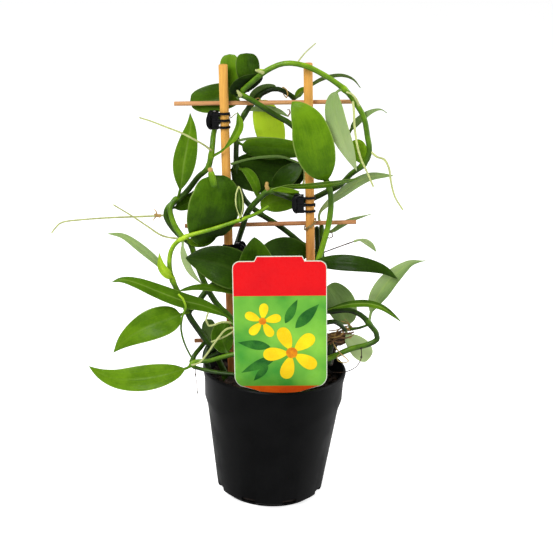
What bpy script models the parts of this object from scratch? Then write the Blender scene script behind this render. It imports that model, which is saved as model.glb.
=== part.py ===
"""Vanilla orchid on a leaning bamboo rack, in a 12 cm nursery pot with its plant label.

Metres, +Z up. The origin is the centre of the pot's flat base, and -Y is the side that the label faces.
Stems, leaves and roots are placed by spots: a column and a row in a square picture of the plant, and how
far back from the pot's axis the spot lies, in millimetres. spot() turns one into a point.
"""

import math
from collections import namedtuple

import bmesh
import bpy
from mathutils import Matrix, Vector

MM = 0.001

# The square view that the spots are read in
VIEW_SIZE = 553
VIEW_FOCAL = 1479
EYE = Vector((-1.5, -1150, 560)) * MM
VIEW_PITCH = math.radians(17.9)
VIEW_ROLL = math.radians(2.4)

# Pot
RIM_RADIUS = 60 * MM
POT_HEIGHT = 110 * MM
BAND_HEIGHT = 17.5 * MM
BAND_STEP = 2.6 * MM
WALL_INSET = 3 * MM
LIP = 1.2 * MM
SKIRT_RADIUS = 44.4 * MM
SKIRT_HEIGHT = 5 * MM
FOOT_RADIUS = 39.5 * MM
WALL = 1.4 * MM
FLOOR = 2 * MM
POT_STEPS = 44
NOTCHES = 8
NOTCH_WIDTH = 12 * MM
NOTCH_TOP = 8 * MM
NOTCH_REACH = 6 * MM

# Substrate
SOIL_TOP = 98 * MM
SOIL_SWELL = 2.5 * MM
HOLE_GAP = 0.4 * MM
SOIL_STEPS = 28
STEM_DEPTH = 22 * MM
GAP = 0.3 * MM

# Rack: a leaning plane of two stakes with three crossbars behind them
RACK_FOOT = Vector((-1.5, 6, 98)) * MM
RACK_LEAN = math.radians(3.4)
STAKE_RADIUS = 3.7 * MM
STAKE_OFFSET = 33.4 * MM
STAKE_DEPTH = 50 * MM
STAKE_HEIGHTS = {"left": 264 * MM, "right": 264 * MM}
BAR_RADIUS = 1.9 * MM
BAR_BACK = STAKE_RADIUS + GAP + BAR_RADIUS
Bar = namedtuple("Bar", "height middle length tilt")
BARS = {
    "top": Bar(232 * MM, -1.6 * MM, 144 * MM, math.radians(0.3)),
    "middle": Bar(131.7 * MM, 1.1 * MM, 140 * MM, math.radians(-0.5)),
    "lower": Bar(32.7 * MM, 1.3 * MM, 132 * MM, math.radians(-1.4)),
}
TIE_PLACE = ("middle", "right")
TIE_RADIUS = 0.5 * MM
TIE_SLANT = math.radians(38)
TIE_STEPS = 16
TIE_SQUARENESS = 0.6
BRAD_RADIUS = 0.45 * MM
BRAD_HEAD = 1.3 * MM
BRAD_HEAD_THICK = 0.6 * MM
BRAD_DEPTH = 4.5 * MM

# Claw clips: two jaws hinged on a sprung pin beside the stake
Clip = namedtuple("Clip", "stake height hand")
CLIPS = {
    "upper": Clip("left", 220 * MM, 1),
    "middle": Clip("right", 150 * MM, 1),
    "lower": Clip("left", 111 * MM, -1),
}
CLIP_HEIGHT = 14 * MM
CLIP_WALL = 1.4 * MM
CLAW_GAP = 0.35 * MM
CLAW_WIDTH = 2 * MM
CLAW_THICK = 1.3 * MM
SHOULDER = 2.8 * MM
CLAW_ARC = range(60, 160, 23)
CLAW_LEVELS = {"front": (-5.5 * MM, 0, 5.5 * MM), "rear": (-2.75 * MM, 2.75 * MM)}
PIN_X = -7.6 * MM
PIN_RADIUS = 1.1 * MM
EAR_RADIUS = 2.3 * MM
EAR_WIDTH = 2 * MM
EAR_LEVELS = {"front": (-5.6 * MM, 5.6 * MM), "rear": (-3 * MM, 3 * MM)}
WEB_SINK = 0.5 * MM
PIN_GAP = 0.3 * MM
PAD_REACH = 7 * MM
PAD_SPREAD = 5.2 * MM
PAD_FLARE = 0.6 * MM

# Label
LABEL_FOOT = Vector((4.8, -41, 113)) * MM
LABEL_LEAN = math.radians(3)
LABEL_WIDTH = 73 * MM
LABEL_HEIGHT = 102 * MM
LABEL_THICK = 0.9 * MM
LABEL_TAB = (36 * MM, 4 * MM)
LABEL_CORNER = 6 * MM
LABEL_CHIN = 10 * MM
NECK_WIDTH = 41 * MM
NECK_DROP = 7 * MM
SPIKE_TOP = 12 * MM
SPIKE_WIDTH = 14 * MM
SPIKE_DEPTH = 48 * MM

# Leaves and stems
BLADE_EDGE = 0.35 * MM
BLADE_RIB = 0.6 * MM
STALK_RIB = 0.5 * MM
STALK_EDGE = 0.3 * MM
STALK_FADE = 0.6
PETIOLE = 1.15 * MM
PETIOLE_SHARE = 0.1
BLADE_STATIONS = (0, PETIOLE_SHARE, 0.17, 0.27, 0.4, 0.54, 0.68, 0.81, 0.92, 1)
OUTLINE_POWER = 1.3
STEM_STEP = 10 * MM
ROOT_STEP = 9 * MM
STEM_SIDES = 6
Leaf = namedtuple("Leaf", "rib width turn twist fold belly", defaults=(15, 0, 12, 0.45))
Root = namedtuple("Root", "spots radius", defaults=(0.8,))

# Where each vine stands in the substrate: x and y in millimetres, with its stem's radius
FEET = {
    "vine_main_left": (-20, -13, 2.6),
    "vine_main_loop": (-41, -8, 2.6),
    "vine_centre": (31, 24, 2.5),
    "vine_right": (38, -20, 2.5),
    "vine_low": (-27, -27, 2.4),
    "vine_label": (4, -24, 2.6),
}

LEFT_STEM = [
    (238, 332, -12), (231, 318, -11), (217, 304, -9), (205, 284, -7), (196, 261, -5), (190, 243, -3),
    (178, 234, -2), (166, 217, 0), (170, 206, 1), (185, 193.5, 2), (199, 176, 3), (208, 168, 3),
    (212, 150, 5), (213, 138, 9), (215, 128, 15.5), (219, 120, 18), (224, 113, 18.5),
]
LEFT_BRIDGE = [(178, 197, 1), (170, 207, -3), (174, 224, -8), (183, 238, -12)]
LOOP_STEM = [
    (213, 350, -10), (200, 332, -10), (188, 313, -10), (195, 306, -7), (207, 290, 0), (219, 279, 8),
    (229, 262, 17), (236, 247, 19), (239, 238, 13), (243, 226, 4), (249, 210, -1), (268, 191, -2),
    (277, 193, 5), (287, 196.5, 15.6), (302, 201, 16.2), (314, 198, 15.5), (326, 192, 12), (340, 185, 8),
    (351, 174, 4), (364, 164, 0), (369.5, 152, -2), (367.5, 137, -2), (364, 118, -1), (355, 102, 2),
    (344, 89, 2), (325, 75.5, 0), (304, 65.5, -3), (284, 63.5, -2), (266, 71, 0), (251, 83, 2),
    (241, 92, 3),
]
HANGING_STEM = [
    (238, 93, 4), (247, 97.5, 3), (258, 104, 3), (275, 115, 3), (292, 125, 1), (305, 142, -2),
    (318, 166, -2), (328, 184, 0), (331, 201, 1), (329, 222, 1), (323, 245, -2), (317, 264, -6),
    (312, 278, -9),
]
SIDE_SHOOT = [
    (188, 313, -10), (181, 298, -12), (170.5, 274, -12), (171, 251, -12), (183, 238, -12.5),
    (211, 229.5, -14), (237, 221, -13), (258, 213, -7), (270, 205, -3),
]
HEART_PETIOLE = [(266, 71, 0), (260, 70, 3), (253, 70, 7)]

MAIN_LEAVES = [
    Leaf([(250, 97, 7), (249, 84, 8), (248, 69, 10), (247, 53, 15)], 19, -8, 0, 8, 0.66),
    Leaf([(240, 98, 9), (236, 84, 12), (232, 69, 14), (231, 54, 17)], 17, -20, 0, 8, 0.66),
    Leaf([(239, 95, 4), (240, 88, 5), (247, 80, 5), (259, 76, 6)], 12, -15, 0, 10),
    Leaf([(241, 92, 5), (237, 90.5, 15), (229, 95, 18.5), (209, 100.5, 18.5), (191, 103, 18)], 20, 8, 0, 6),
    Leaf([(328, 186, -1), (324, 168, -8), (315, 145, -11), (303, 122, -11), (291, 101, -6)], 29, 8, 0, 10),
    Leaf([(344, 89, 2), (335, 93, -2), (334, 103, -4), (338, 125, -6), (346, 149, -5), (356, 171, -3)],
         18, 22),
    Leaf([(349, 134, 5), (357, 124, 4), (367, 115, 2), (379, 109.5, 5), (388, 114, 7)], 8, -35),
    Leaf([(364, 163, 0), (361.5, 158, 3), (357, 150, 6), (352, 138, 8)], 15, 22, 0, 12, 0.52),
    Leaf([(270, 190, -1), (279, 183, 6), (290, 174, 11), (301, 164, 13)], 17, -20, 0, 8, 0.5),
    Leaf([(269, 191, -1), (279, 189, -3), (289, 190, -4), (300, 192, -3)], 7, 50),
    Leaf([(270, 190, -2), (285, 186.5, -5), (310, 185, -6), (335, 182.5, -5), (360, 178, -2)], 12, 66, 0, 10),
    Leaf([(183, 239, -12), (180, 255, -12), (186, 270, -12.5), (199, 283, -13)], 6, 35),
    Leaf([(178, 198, 0), (176, 189, -4), (178, 165, -9), (186, 135, -8), (190, 112, -4)], 19, 8, 0, 14),
    Leaf([(211, 168, 2), (212, 181, -4), (214, 203, -9), (211, 224, -9), (207, 240, -6)], 39, -6, 0, 6, 0.44),
    Leaf([(185, 237.5, -12), (195, 243, -6), (208, 241, -1), (221, 234, 0)], 10, 14),
    Leaf([(241, 220, -13), (240, 206, -13), (237, 188, -11)], 8, 25),
    Leaf([(170, 208, 1), (180, 206, 5), (196, 197, 8), (213, 182, 6)], 13, 20),
    Leaf([(212, 152, 3), (222, 150, -3), (234, 141, -5), (241, 130, -4), (237, 112, -1)], 10, 20, 30),
    Leaf([(173, 280, -12), (160, 265, -16), (136, 245, -18), (122, 236, -18), (107, 233.5, -18)], 8, 25),
    Leaf([(174, 278, -13), (167, 271, -17), (159, 252, -19)], 11, 10, 0, 20, 0.35),
    Leaf([(188, 313, -12), (180, 313, -15), (160, 318, -20), (136, 331, -22), (113, 352, -18)],
         25, 14, 0, 12),
    Leaf([(316, 263, -7), (327, 263, -14), (350, 262, -21), (376, 266, -24), (398, 280, -24)], 13, -15, 0, 8),
    Leaf([(321, 254, -3), (341, 247, -4), (361, 239.5, -5), (369, 243, -5), (377, 252, -5)],
         7, 78, -60, 5, 0.75),
]
MAIN_ROOTS = [
    Root([(353, 101, 0), (354, 112, -4), (354.5, 126, -6), (357, 144, -8), (361, 159, -8), (367, 172, -7),
          (373.5, 187, -6)], 1.0),
    Root([(369, 150, -2), (377, 157, -5), (384, 159, -7), (389, 168, -8), (391, 182, -8), (395, 197, -8),
          (403, 210, -8)], 1.0),
    Root([(167, 215, 0), (154, 216, -1), (127, 217, -3), (104, 218, -4), (78, 220, -5), (63, 222, -6),
          (57, 226, -6), (51.5, 233, -6)], 0.8),
    Root([(182, 239, -12), (163, 236, -14), (147, 226, -15), (132, 216, -15), (113, 204.5, -15)], 0.8),
    Root([(212, 151, 4), (195, 140, -6), (181.5, 133, -12), (166, 127, -13), (150.5, 121, -13),
          (139, 117.5, -13)], 0.8),
    Root([(297, 63, -3), (305, 53, -3), (316, 43, -3)], 0.55),
    Root([(188, 313, -12), (181, 320, -18), (180.5, 330, -19), (185, 342, -19), (191, 355, -19)], 0.75),
]

CENTRE_STEM = [
    (318, 330, 20), (318, 295, 19), (316.5, 262, 18), (312, 250, 18), (302, 244, 18), (292.5, 236, 18),
    (278, 225, 18), (259, 213, 18), (245, 200, 17), (237.5, 182, 16), (236, 165, 16), (237, 136, 16),
    (241.5, 120, 17), (250, 106, 18.5), (261, 94, 19), (273, 89, 19), (284, 91, 19), (296, 99.5, 19),
]
CENTRE_SIDE = [(318, 302, 19), (322, 280, 18.5), (322, 250, 18), (321.5, 224, 18)]
CENTRE_LEAVES = [
    Leaf([(250, 104, 18.5), (253, 96, 19), (262, 90, 20), (276, 86, 20)], 9, 15),
    Leaf([(258, 97, 19), (263, 110, 23), (270, 132, 24), (276, 160, 22)], 29, -8, 0, 6, 0.5),
    Leaf([(237, 140, 16), (246, 147, 15), (268, 148, 15), (288, 149, 15), (301, 152, 16)], 17, 28, 0, 12),
    Leaf([(236, 172, 16), (248, 170, 18), (268, 168, 20), (286, 169, 20), (302, 172, 19)],
         23, -12, 0, 6, 0.5),
    Leaf([(237, 168, 16), (250, 177, 12), (258, 188, 10), (254, 201, 9)], 9, -20),
    Leaf([(259, 213, 18), (266, 205, 21), (278, 200, 23), (291, 199, 23), (305, 203, 22)], 19, 8, 0, 6),
    Leaf([(295, 99, 19), (299, 93, 19), (304, 87, 19)], 6, 10),
    Leaf([(296, 98, 19), (312, 86, 19), (325, 78, 20), (341, 75, 20), (361, 88, 20)], 6.5, 55),
    Leaf([(322, 229, 18), (322, 212, 17), (334, 196, 16), (352, 182, 14), (370, 173, 14), (394, 175, 15)],
         13, 18),
    Leaf([(322, 233, 18), (336, 230, 18), (354, 220, 20), (372, 213, 20)], 6, 30),
]

RIGHT_STEM = [
    (330, 358, -18), (340, 353, -17), (352, 348.5, -16), (368, 344.5, -15), (377.5, 339, -15),
    (376, 332, -15), (371, 326, -14), (364, 317.5, -13), (355, 312, -12), (345, 310, -12), (332, 312, -13),
]
DULL_PETIOLE = [(370, 324, -14), (359, 328, -9), (349, 329, -5)]
RIGHT_LEAVES = [
    Leaf([(369, 322, -14), (373, 309, -15), (385, 291, -17), (402, 271, -18), (413, 262.5, -16),
          (428, 261, -13)], 19, 12, 0, 14, 0.38),
    Leaf([(334, 312, -13), (346, 305, -20), (362, 302, -24), (385, 307, -25), (403, 322, -22)], 9, 40, -20),
    Leaf([(350, 330, -5), (348, 322, -4), (343, 307, -2), (337, 290, 0)], 26, 12, 0, 8, 0.5),
    Leaf([(334, 357, -17), (343, 347, -9), (357, 347, -6), (371, 355, -4)], 17, -15, 0, 8, 0.55),
]
RIGHT_ROOTS = [
    Root([(334, 356, -18), (331, 341, -24), (336, 350, -27), (343, 357, -27), (347, 361, -24)], 0.8),
    Root([(363, 346, -16), (361, 357, -18), (356, 367, -18), (350, 371, -18)], 0.5),
    Root([(350, 330, -5), (341, 331, -6), (333, 335, -8), (330, 342, -10)], 1.3),
    Root([(349, 330, -5), (346, 337, -7), (338, 341, -9), (334, 337, -10)], 1.2),
    Root([(350, 329, -6), (353, 334, -8), (347, 340, -10), (340, 345, -11)], 0.9),
]

LOW_STEM = [(238, 362, -27), (224, 359, -26), (208, 360.5, -25), (196, 361.5, -24), (189, 367, -23)]
LOW_LEAVES = [
    Leaf([(190, 366, -23), (180, 373, -27), (152, 379, -31), (117, 378, -33), (88, 366, -31)], 20, 14, 0, 14),
    Leaf([(222, 359, -25), (216, 349, -16), (211, 336, -12), (208, 320, -11)], 11, 15),
    Leaf([(229, 360, -26), (225, 348, -20), (223, 338, -18), (227, 327, -17)], 15, -10),
]
LOW_ROOTS = [
    Root([(196, 361, -24), (195.5, 373, -24), (197.5, 390, -24), (198, 400, -24)], 0.5),
]

LABEL_STEM = [(268, 345, -23), (262, 318, -21), (256, 295, -20), (259, 276, -19)]
LABEL_BRANCH = [(265, 332, -22), (252, 334, -23), (240, 328, -22), (231, 322, -20)]
LABEL_LEAVES = [
    Leaf([(238, 327, -22), (222, 316, -20), (200, 303, -20), (175, 291, -21), (142, 281, -23),
          (111, 282, -23)], 13.5, 18, 0, 14, 0.42),
    Leaf([(257, 298, -20), (233, 292, -18), (212, 288.5, -18), (195, 288, -18), (179, 291, -18)], 9, 55),
    Leaf([(260, 278, -19), (250, 270, -20), (228, 264, -19), (206, 262, -17), (185, 258.5, -16)],
         28, 8, 0, 8, 0.42),
    Leaf([(258, 280, -19), (253, 265, -25), (253, 254, -27), (255, 238, -28)], 15, 5, 0, 10, 0.4),
    Leaf([(259, 277, -18), (266, 260, -10), (277, 251, 0), (291, 250, 7), (302, 254, 12)], 17, 20, 0, 8),
]
LABEL_ROOTS = [
    Root([(233, 323, -20), (222, 322, -26), (214, 325, -28), (208.5, 326, -28), (206, 320, -28),
          (208.5, 312, -27)], 0.75),
    Root([(240, 328, -22), (226.5, 329, -27), (216, 341, -30), (207, 354, -30), (199, 363, -30),
          (191, 365, -30)], 0.8),
    Root([(238, 328, -23), (226, 336, -26), (211, 342, -27)], 0.7),
]


def clear_scene():
    """Remove what the scene holds already."""
    for item in list(bpy.data.objects):
        bpy.data.objects.remove(item)


def material(name, colour, roughness, metallic=0.0):
    """A Principled material."""
    made = bpy.data.materials.new(name)
    made.use_nodes = True
    shader = made.node_tree.nodes["Principled BSDF"]
    shader.inputs["Base Color"].default_value = (*colour, 1)
    shader.inputs["Roughness"].default_value = roughness
    shader.inputs["Metallic"].default_value = metallic
    return made


def object_of(name, shape, finish=None):
    """A scene object from a bmesh, shaded smooth with its corners kept sharp."""
    mesh = bpy.data.meshes.new(name)
    shape.to_mesh(mesh)
    shape.free()
    made = bpy.data.objects.new(name, mesh)
    bpy.context.scene.collection.objects.link(made)
    if finish:
        mesh.materials.append(finish)
    mesh.shade_smooth()
    mesh.set_sharp_from_angle(angle=math.radians(35))
    return made


def apply_modifiers(thing):
    """Replace an object's mesh with what its modifiers make of it."""
    made = bpy.data.meshes.new_from_object(thing.evaluated_get(bpy.context.evaluated_depsgraph_get()))
    thing.modifiers.clear()
    thing.data = made


def combine(base, others, operation):
    """Join or cut an object with others by one Boolean on a collection, which is then removed."""
    group = bpy.data.collections.new(base.name + "_pieces")
    bpy.context.scene.collection.children.link(group)
    for other in others:
        bpy.context.scene.collection.objects.unlink(other)
        group.objects.link(other)
    modifier = base.modifiers.new("combine", "BOOLEAN")
    modifier.operation = operation
    modifier.operand_type = "COLLECTION"
    modifier.collection = group
    modifier.solver = "EXACT"
    apply_modifiers(base)
    for other in others:
        bpy.data.objects.remove(other)
    bpy.data.collections.remove(group)
    return base


def spot(column, row, back):
    """The point seen at a column and a row, so many millimetres behind the pot's axis."""
    across, down = column - VIEW_SIZE / 2, row - VIEW_SIZE / 2
    right = (across * math.cos(VIEW_ROLL) + down * math.sin(VIEW_ROLL)) / VIEW_FOCAL
    up = (across * math.sin(VIEW_ROLL) - down * math.cos(VIEW_ROLL)) / VIEW_FOCAL
    ahead = math.cos(VIEW_PITCH) + up * math.sin(VIEW_PITCH)
    rise = up * math.cos(VIEW_PITCH) - math.sin(VIEW_PITCH)
    reach = (back * MM - EYE.y) / ahead
    return EYE + Vector((right, ahead, rise)) * reach


def smooth_line(points, step):
    """Points about a step apart on the Catmull-Rom curve through the given ones."""
    ends = [points[0] * 2 - points[1]] + list(points) + [points[-1] * 2 - points[-2]]
    line = [points[0].copy()]
    for before, start, end, after in zip(ends, ends[1:], ends[2:], ends[3:]):
        count = max(1, round((end - start).length / step))
        for number in range(1, count + 1):
            t = number / count
            line.append(0.5 * (2 * start + (end - before) * t
                               + (2 * before - 5 * start + 4 * end - after) * t * t
                               + (3 * start - before - 3 * end + after) * t ** 3))
    return line


def tube(name, points, radius, tip, sides, cyclic=False, finish=None):
    """A closed round tube through points, its radius running from radius to tip."""
    curve = bpy.data.curves.new(name, "CURVE")
    curve.dimensions = "3D"
    curve.bevel_depth = 1
    curve.bevel_resolution = (sides - 4) // 2
    curve.use_fill_caps = True
    spline = curve.splines.new("POLY")
    spline.points.add(len(points) - 1)
    spline.use_cyclic_u = cyclic
    for number, point in enumerate(points):
        share = number / (len(points) - 1)
        spline.points[number].co = (*point, 1)
        spline.points[number].radius = radius + (tip - radius) * share
    guide = bpy.data.objects.new(name, curve)
    mesh = bpy.data.meshes.new_from_object(guide)
    bpy.data.objects.remove(guide)
    shape = bmesh.new()
    shape.from_mesh(mesh)
    bpy.data.meshes.remove(mesh)
    bmesh.ops.remove_doubles(shape, verts=shape.verts, dist=1e-6)
    bmesh.ops.recalc_face_normals(shape, faces=shape.faces)
    return object_of(name, shape, finish)


def foot_points(foot):
    """The straight end of a stem in its hole in the substrate."""
    x, y, _ = FEET[foot]
    rises = (-STEM_DEPTH, -STEM_DEPTH / 2, SOIL_SWELL, 3 * SOIL_SWELL)
    return [Vector((x * MM, y * MM, SOIL_TOP + rise)) for rise in rises]


def stem(name, spots, radius=2.5, tip=2.3, foot=None):
    """A stem through spots, standing on its foot where it has one."""
    points = [spot(*place) for place in spots]
    if foot:
        points = foot_points(foot) + points
    return tube(name, smooth_line(points, STEM_STEP), radius * MM, tip * MM, STEM_SIDES)


def root(name, made):
    """An aerial root, thinner at its tip."""
    points = smooth_line([spot(*place) for place in made.spots], ROOT_STEP)
    return tube(name, points, made.radius * MM, 0.7 * made.radius * MM, 4)


def half_width(share, leaf):
    """Half of a leaf's width at a share of its length."""
    if share <= PETIOLE_SHARE:
        return PETIOLE
    along = (share - PETIOLE_SHARE) / (1 - PETIOLE_SHARE)
    rise = OUTLINE_POWER * leaf.belly
    fall = OUTLINE_POWER - rise
    peak = leaf.belly ** rise * (1 - leaf.belly) ** fall
    blade = leaf.width * MM / 2 * along ** rise * (1 - along) ** fall / peak
    return max(blade, PETIOLE * (1 - along), BLADE_EDGE)


def point_along(line, share):
    """The point at a share of a line's length, and the direction there."""
    lengths = [(b - a).length for a, b in zip(line, line[1:])]
    left = share * sum(lengths)
    for start, end, length in zip(line, line[1:], lengths):
        if left <= length or end is line[-1]:
            return start.lerp(end, min(left / length, 1)), (end - start).normalized()
        left -= length


def leaf_blade(name, leaf):
    """A leaf as a thin closed blade on its petiole, turned about its rib and folded along it."""
    line = smooth_line([spot(*place) for place in leaf.rib], 2 * MM)
    shape = bmesh.new()
    rings = []
    for share in BLADE_STATIONS:
        place, along = point_along(line, share)
        side = along.cross(place - EYE).normalized()
        face = along.cross(side).normalized()
        if face.dot(place - EYE) > 0:
            face = -face
        turn = math.radians(leaf.turn + leaf.twist * share)
        out = side * math.cos(turn) + face * math.sin(turn)
        top = face * math.cos(turn) - side * math.sin(turn)
        fold = math.radians(leaf.fold)
        half = half_width(share, leaf)
        stalk = max(0, 1 - share / PETIOLE_SHARE * STALK_FADE)
        rib, edge = BLADE_RIB + stalk * STALK_RIB, BLADE_EDGE + stalk * STALK_EDGE
        left = place + (out * math.cos(fold) + top * math.sin(fold)) * half
        right = place + (top * math.sin(fold) - out * math.cos(fold)) * half
        ring = [left + top * edge, place + top * rib, right + top * edge,
                right - top * edge, place - top * rib, left - top * edge]
        rings.append([shape.verts.new(point) for point in ring])
    for near, far in zip(rings, rings[1:]):
        for first, second in ((0, 1), (1, 2), (2, 3), (5, 4), (4, 3), (0, 5)):
            shape.faces.new((near[first], near[second], far[second]))
            shape.faces.new((near[first], far[second], far[first]))
    shape.faces.new(rings[0])
    shape.faces.new(rings[-1])
    bmesh.ops.recalc_face_normals(shape, faces=shape.faces)
    return object_of(name, shape)


def vine(name, stems, leaves, roots, finish):
    """A leafy stem as one body: its stems, leaves and aerial roots joined."""
    pieces = list(stems)
    pieces += [leaf_blade(f"{name}_leaf", leaf) for leaf in leaves]
    pieces += [root(f"{name}_root", made) for made in roots]
    base = pieces[0]
    combine(base, pieces[1:], "UNION")
    base.name = name
    base.data.materials.clear()
    base.data.materials.append(finish)
    return base


def inner_radius(height):
    """The pot's inner radius at a height."""
    low, high = SKIRT_HEIGHT, POT_HEIGHT - BAND_HEIGHT - BAND_STEP
    slope = (RIM_RADIUS - WALL_INSET - SKIRT_RADIUS) / (high - low)
    return SKIRT_RADIUS - WALL + slope * (height - low)


def spun(name, profile, steps, finish):
    """A turned solid from a profile of radius and height that starts and ends on the axis."""
    shape = bmesh.new()
    points = [shape.verts.new((radius, 0, height)) for radius, height in profile]
    edges = [shape.edges.new(pair) for pair in zip(points, points[1:])]
    bmesh.ops.spin(shape, geom=points + edges, cent=(0, 0, 0), axis=(0, 0, 1), angle=math.tau,
                   steps=steps, use_merge=True)
    bmesh.ops.remove_doubles(shape, verts=shape.verts, dist=1e-6)
    bmesh.ops.recalc_face_normals(shape, faces=shape.faces)
    return object_of(name, shape, finish)


def box(name, size, place):
    """A box of a size, moved by a matrix."""
    shape = bmesh.new()
    bmesh.ops.create_cube(shape, size=1, matrix=place @ Matrix.Diagonal((*size, 1)))
    return object_of(name, shape)


def rod(name, radius, length, place, sides, finish=None, end=0.0):
    """A round rod along local Z from 0 to its length, its end edges bevelled, moved by a matrix."""
    shape = bmesh.new()
    bmesh.ops.create_cone(shape, cap_ends=True, segments=sides, radius1=radius, radius2=radius,
                          depth=length, matrix=Matrix.Translation((0, 0, length / 2)))
    if end:
        rims = [edge for edge in shape.edges if abs(edge.verts[0].co.z - edge.verts[1].co.z) < length / 2]
        bmesh.ops.bevel(shape, geom=rims, offset=end, segments=1, profile=0.5, affect="EDGES", material=-1)
    shape.transform(place)
    return object_of(name, shape, finish)


def build_pot(finish):
    """The pot: foot, skirt with drain notches, tapering wall, stepped rim band and rolled lip."""
    band = POT_HEIGHT - BAND_HEIGHT
    low = band - BAND_STEP
    wall_top = inner_radius(low) + WALL
    profile = [
        (0, 0), (FOOT_RADIUS - LIP, 0), (FOOT_RADIUS, LIP), (FOOT_RADIUS + LIP / 2, SKIRT_HEIGHT - 2 * MM),
        (SKIRT_RADIUS - MM, SKIRT_HEIGHT - MM), (SKIRT_RADIUS, SKIRT_HEIGHT),
        (wall_top, low), (RIM_RADIUS - LIP, band), (RIM_RADIUS - LIP, band + MM),
        (RIM_RADIUS - LIP / 3, POT_HEIGHT - LIP), (RIM_RADIUS - LIP, POT_HEIGHT),
        (RIM_RADIUS - LIP - WALL, POT_HEIGHT), (RIM_RADIUS - 2 * LIP - WALL, band + MM),
        (inner_radius(low), low), (inner_radius(SKIRT_HEIGHT), SKIRT_HEIGHT),
        (FOOT_RADIUS - LIP, FLOOR), (0, FLOOR),
    ]
    pot = spun("pot", profile, POT_STEPS, finish)
    cutters = []
    for number in range(NOTCHES):
        turn = Matrix.Rotation(math.tau * (number + 0.5) / NOTCHES, 4, "Z")
        middle = Matrix.Translation((SKIRT_RADIUS - NOTCH_REACH / 4, 0, (FLOOR + GAP + NOTCH_TOP) / 2))
        cutters.append(box("notch", (NOTCH_REACH, NOTCH_WIDTH, NOTCH_TOP - FLOOR - GAP), turn @ middle))
    return combine(pot, cutters, "DIFFERENCE")


def rack_place(across=0.0, height=0.0, back=0.0, tilt=0.0):
    """A frame in the rack's leaning plane, with Z along the stakes."""
    return (Matrix.Translation(RACK_FOOT) @ Matrix.Rotation(-RACK_LEAN, 4, "Y")
            @ Matrix.Translation((across, back, height)) @ Matrix.Rotation(tilt, 4, "Y"))


def stake_side(side):
    """Where a stake stands across the rack."""
    return STAKE_OFFSET if side == "right" else -STAKE_OFFSET


def label_place():
    """The label's frame: the middle of its wide part's lower edge."""
    return Matrix.Translation(LABEL_FOOT) @ Matrix.Rotation(-LABEL_LEAN, 4, "Y")


def build_substrate(finish):
    """The substrate filling the pot, domed a little, with a plain hole for each stem, stake and the label."""
    floor = FLOOR + GAP
    low = POT_HEIGHT - BAND_HEIGHT - BAND_STEP
    wide = inner_radius(low)
    dome = [(wide * share, SOIL_TOP + SOIL_SWELL * (1 - share ** 2)) for share in (1, 0.8, 0.5, 0)]
    profile = [(0, floor), (FOOT_RADIUS - 2 * LIP, floor),
               (inner_radius(SKIRT_HEIGHT) - HOLE_GAP, SKIRT_HEIGHT + GAP),
               (wide - HOLE_GAP, low), (wide - HOLE_GAP, low + 2 * MM)]
    soil = spun("substrate", profile + dome, SOIL_STEPS, finish)
    cutters = []
    for x, y, radius in FEET.values():
        hole = Matrix.Translation((x * MM, y * MM, SOIL_TOP - STEM_DEPTH - GAP))
        cutters.append(rod("hole", radius * MM + HOLE_GAP, 2 * STEM_DEPTH, hole, 12))
    for side_name in STAKE_HEIGHTS:
        hole = rack_place(stake_side(side_name), -STAKE_DEPTH - GAP)
        cutters.append(rod("hole", STAKE_RADIUS + HOLE_GAP, 2 * STAKE_DEPTH, hole, 16))
    slot = (SPIKE_WIDTH + 2 * HOLE_GAP, LABEL_THICK + 2 * HOLE_GAP, 2 * SPIKE_DEPTH + 2 * GAP)
    cutters.append(box("slot", slot, label_place()))
    return combine(soil, cutters, "DIFFERENCE")


def crossing(bar, side, back=0.0):
    """The frame where a crossbar passes a stake, so far behind the stake's axis."""
    across = stake_side(side)
    return rack_place(across, bar.height - (across - bar.middle) * math.sin(bar.tilt), back)


def build_rack(cane, stick, wire, steel):
    """Two stakes with three crossbars behind them, held by brads, and by a tie at one crossing."""
    stakes, holes = {}, {side: [] for side in STAKE_HEIGHTS}
    for side, height in STAKE_HEIGHTS.items():
        foot = rack_place(stake_side(side), -STAKE_DEPTH)
        stakes[side] = rod(f"stake_{side}", STAKE_RADIUS, STAKE_DEPTH + height, foot, 16, cane, 0.5 * MM)
    for level, bar in BARS.items():
        lay = Matrix.Rotation(math.pi / 2, 4, "Y") @ Matrix.Translation((0, 0, -bar.length / 2))
        stick_place = rack_place(bar.middle, bar.height, BAR_BACK, bar.tilt) @ lay
        made = rod(f"crossbar_{level}", BAR_RADIUS, bar.length, stick_place, 10, stick, 0.3 * MM)
        through = []
        for side in STAKE_HEIGHTS:
            if (level, side) == TIE_PLACE:
                build_tie(f"tie_{level}_{side}", bar, side, wire)
                continue
            build_brad(f"brad_{level}_{side}", bar, side, steel)
            through.append(brad_hole(bar, side))
            holes[side].append(brad_hole(bar, side))
        combine(made, through, "DIFFERENCE")
    for side, stake in stakes.items():
        combine(stake, holes[side], "DIFFERENCE")


def brad_hole(bar, side):
    """The cutter of the hole through a crossbar and into its stake."""
    tip = crossing(bar, side, BAR_BACK - BAR_RADIUS - GAP - BRAD_DEPTH - GAP)
    length = BRAD_DEPTH + 2 * BAR_RADIUS + 4 * GAP
    return rod("hole", BRAD_RADIUS + GAP, length, tip @ Matrix.Rotation(-math.pi / 2, 4, "X"), 8)


def build_brad(name, bar, side, steel):
    """A small nail driven from behind: its head on the crossbar and its point in the stake."""
    head = crossing(bar, side, BAR_BACK + BAR_RADIUS + GAP)
    shank = BRAD_DEPTH + 2 * (BAR_RADIUS + GAP)
    back = Matrix.Rotation(-math.pi / 2, 4, "X")
    nail = rod(name, BRAD_HEAD, BRAD_HEAD_THICK, head @ back, 10, steel)
    tip = crossing(bar, side, BAR_BACK + BAR_RADIUS + GAP - shank)
    return combine(nail, [rod("shank", BRAD_RADIUS, shank + BRAD_HEAD_THICK / 2, tip @ back, 8)], "UNION")


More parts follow.
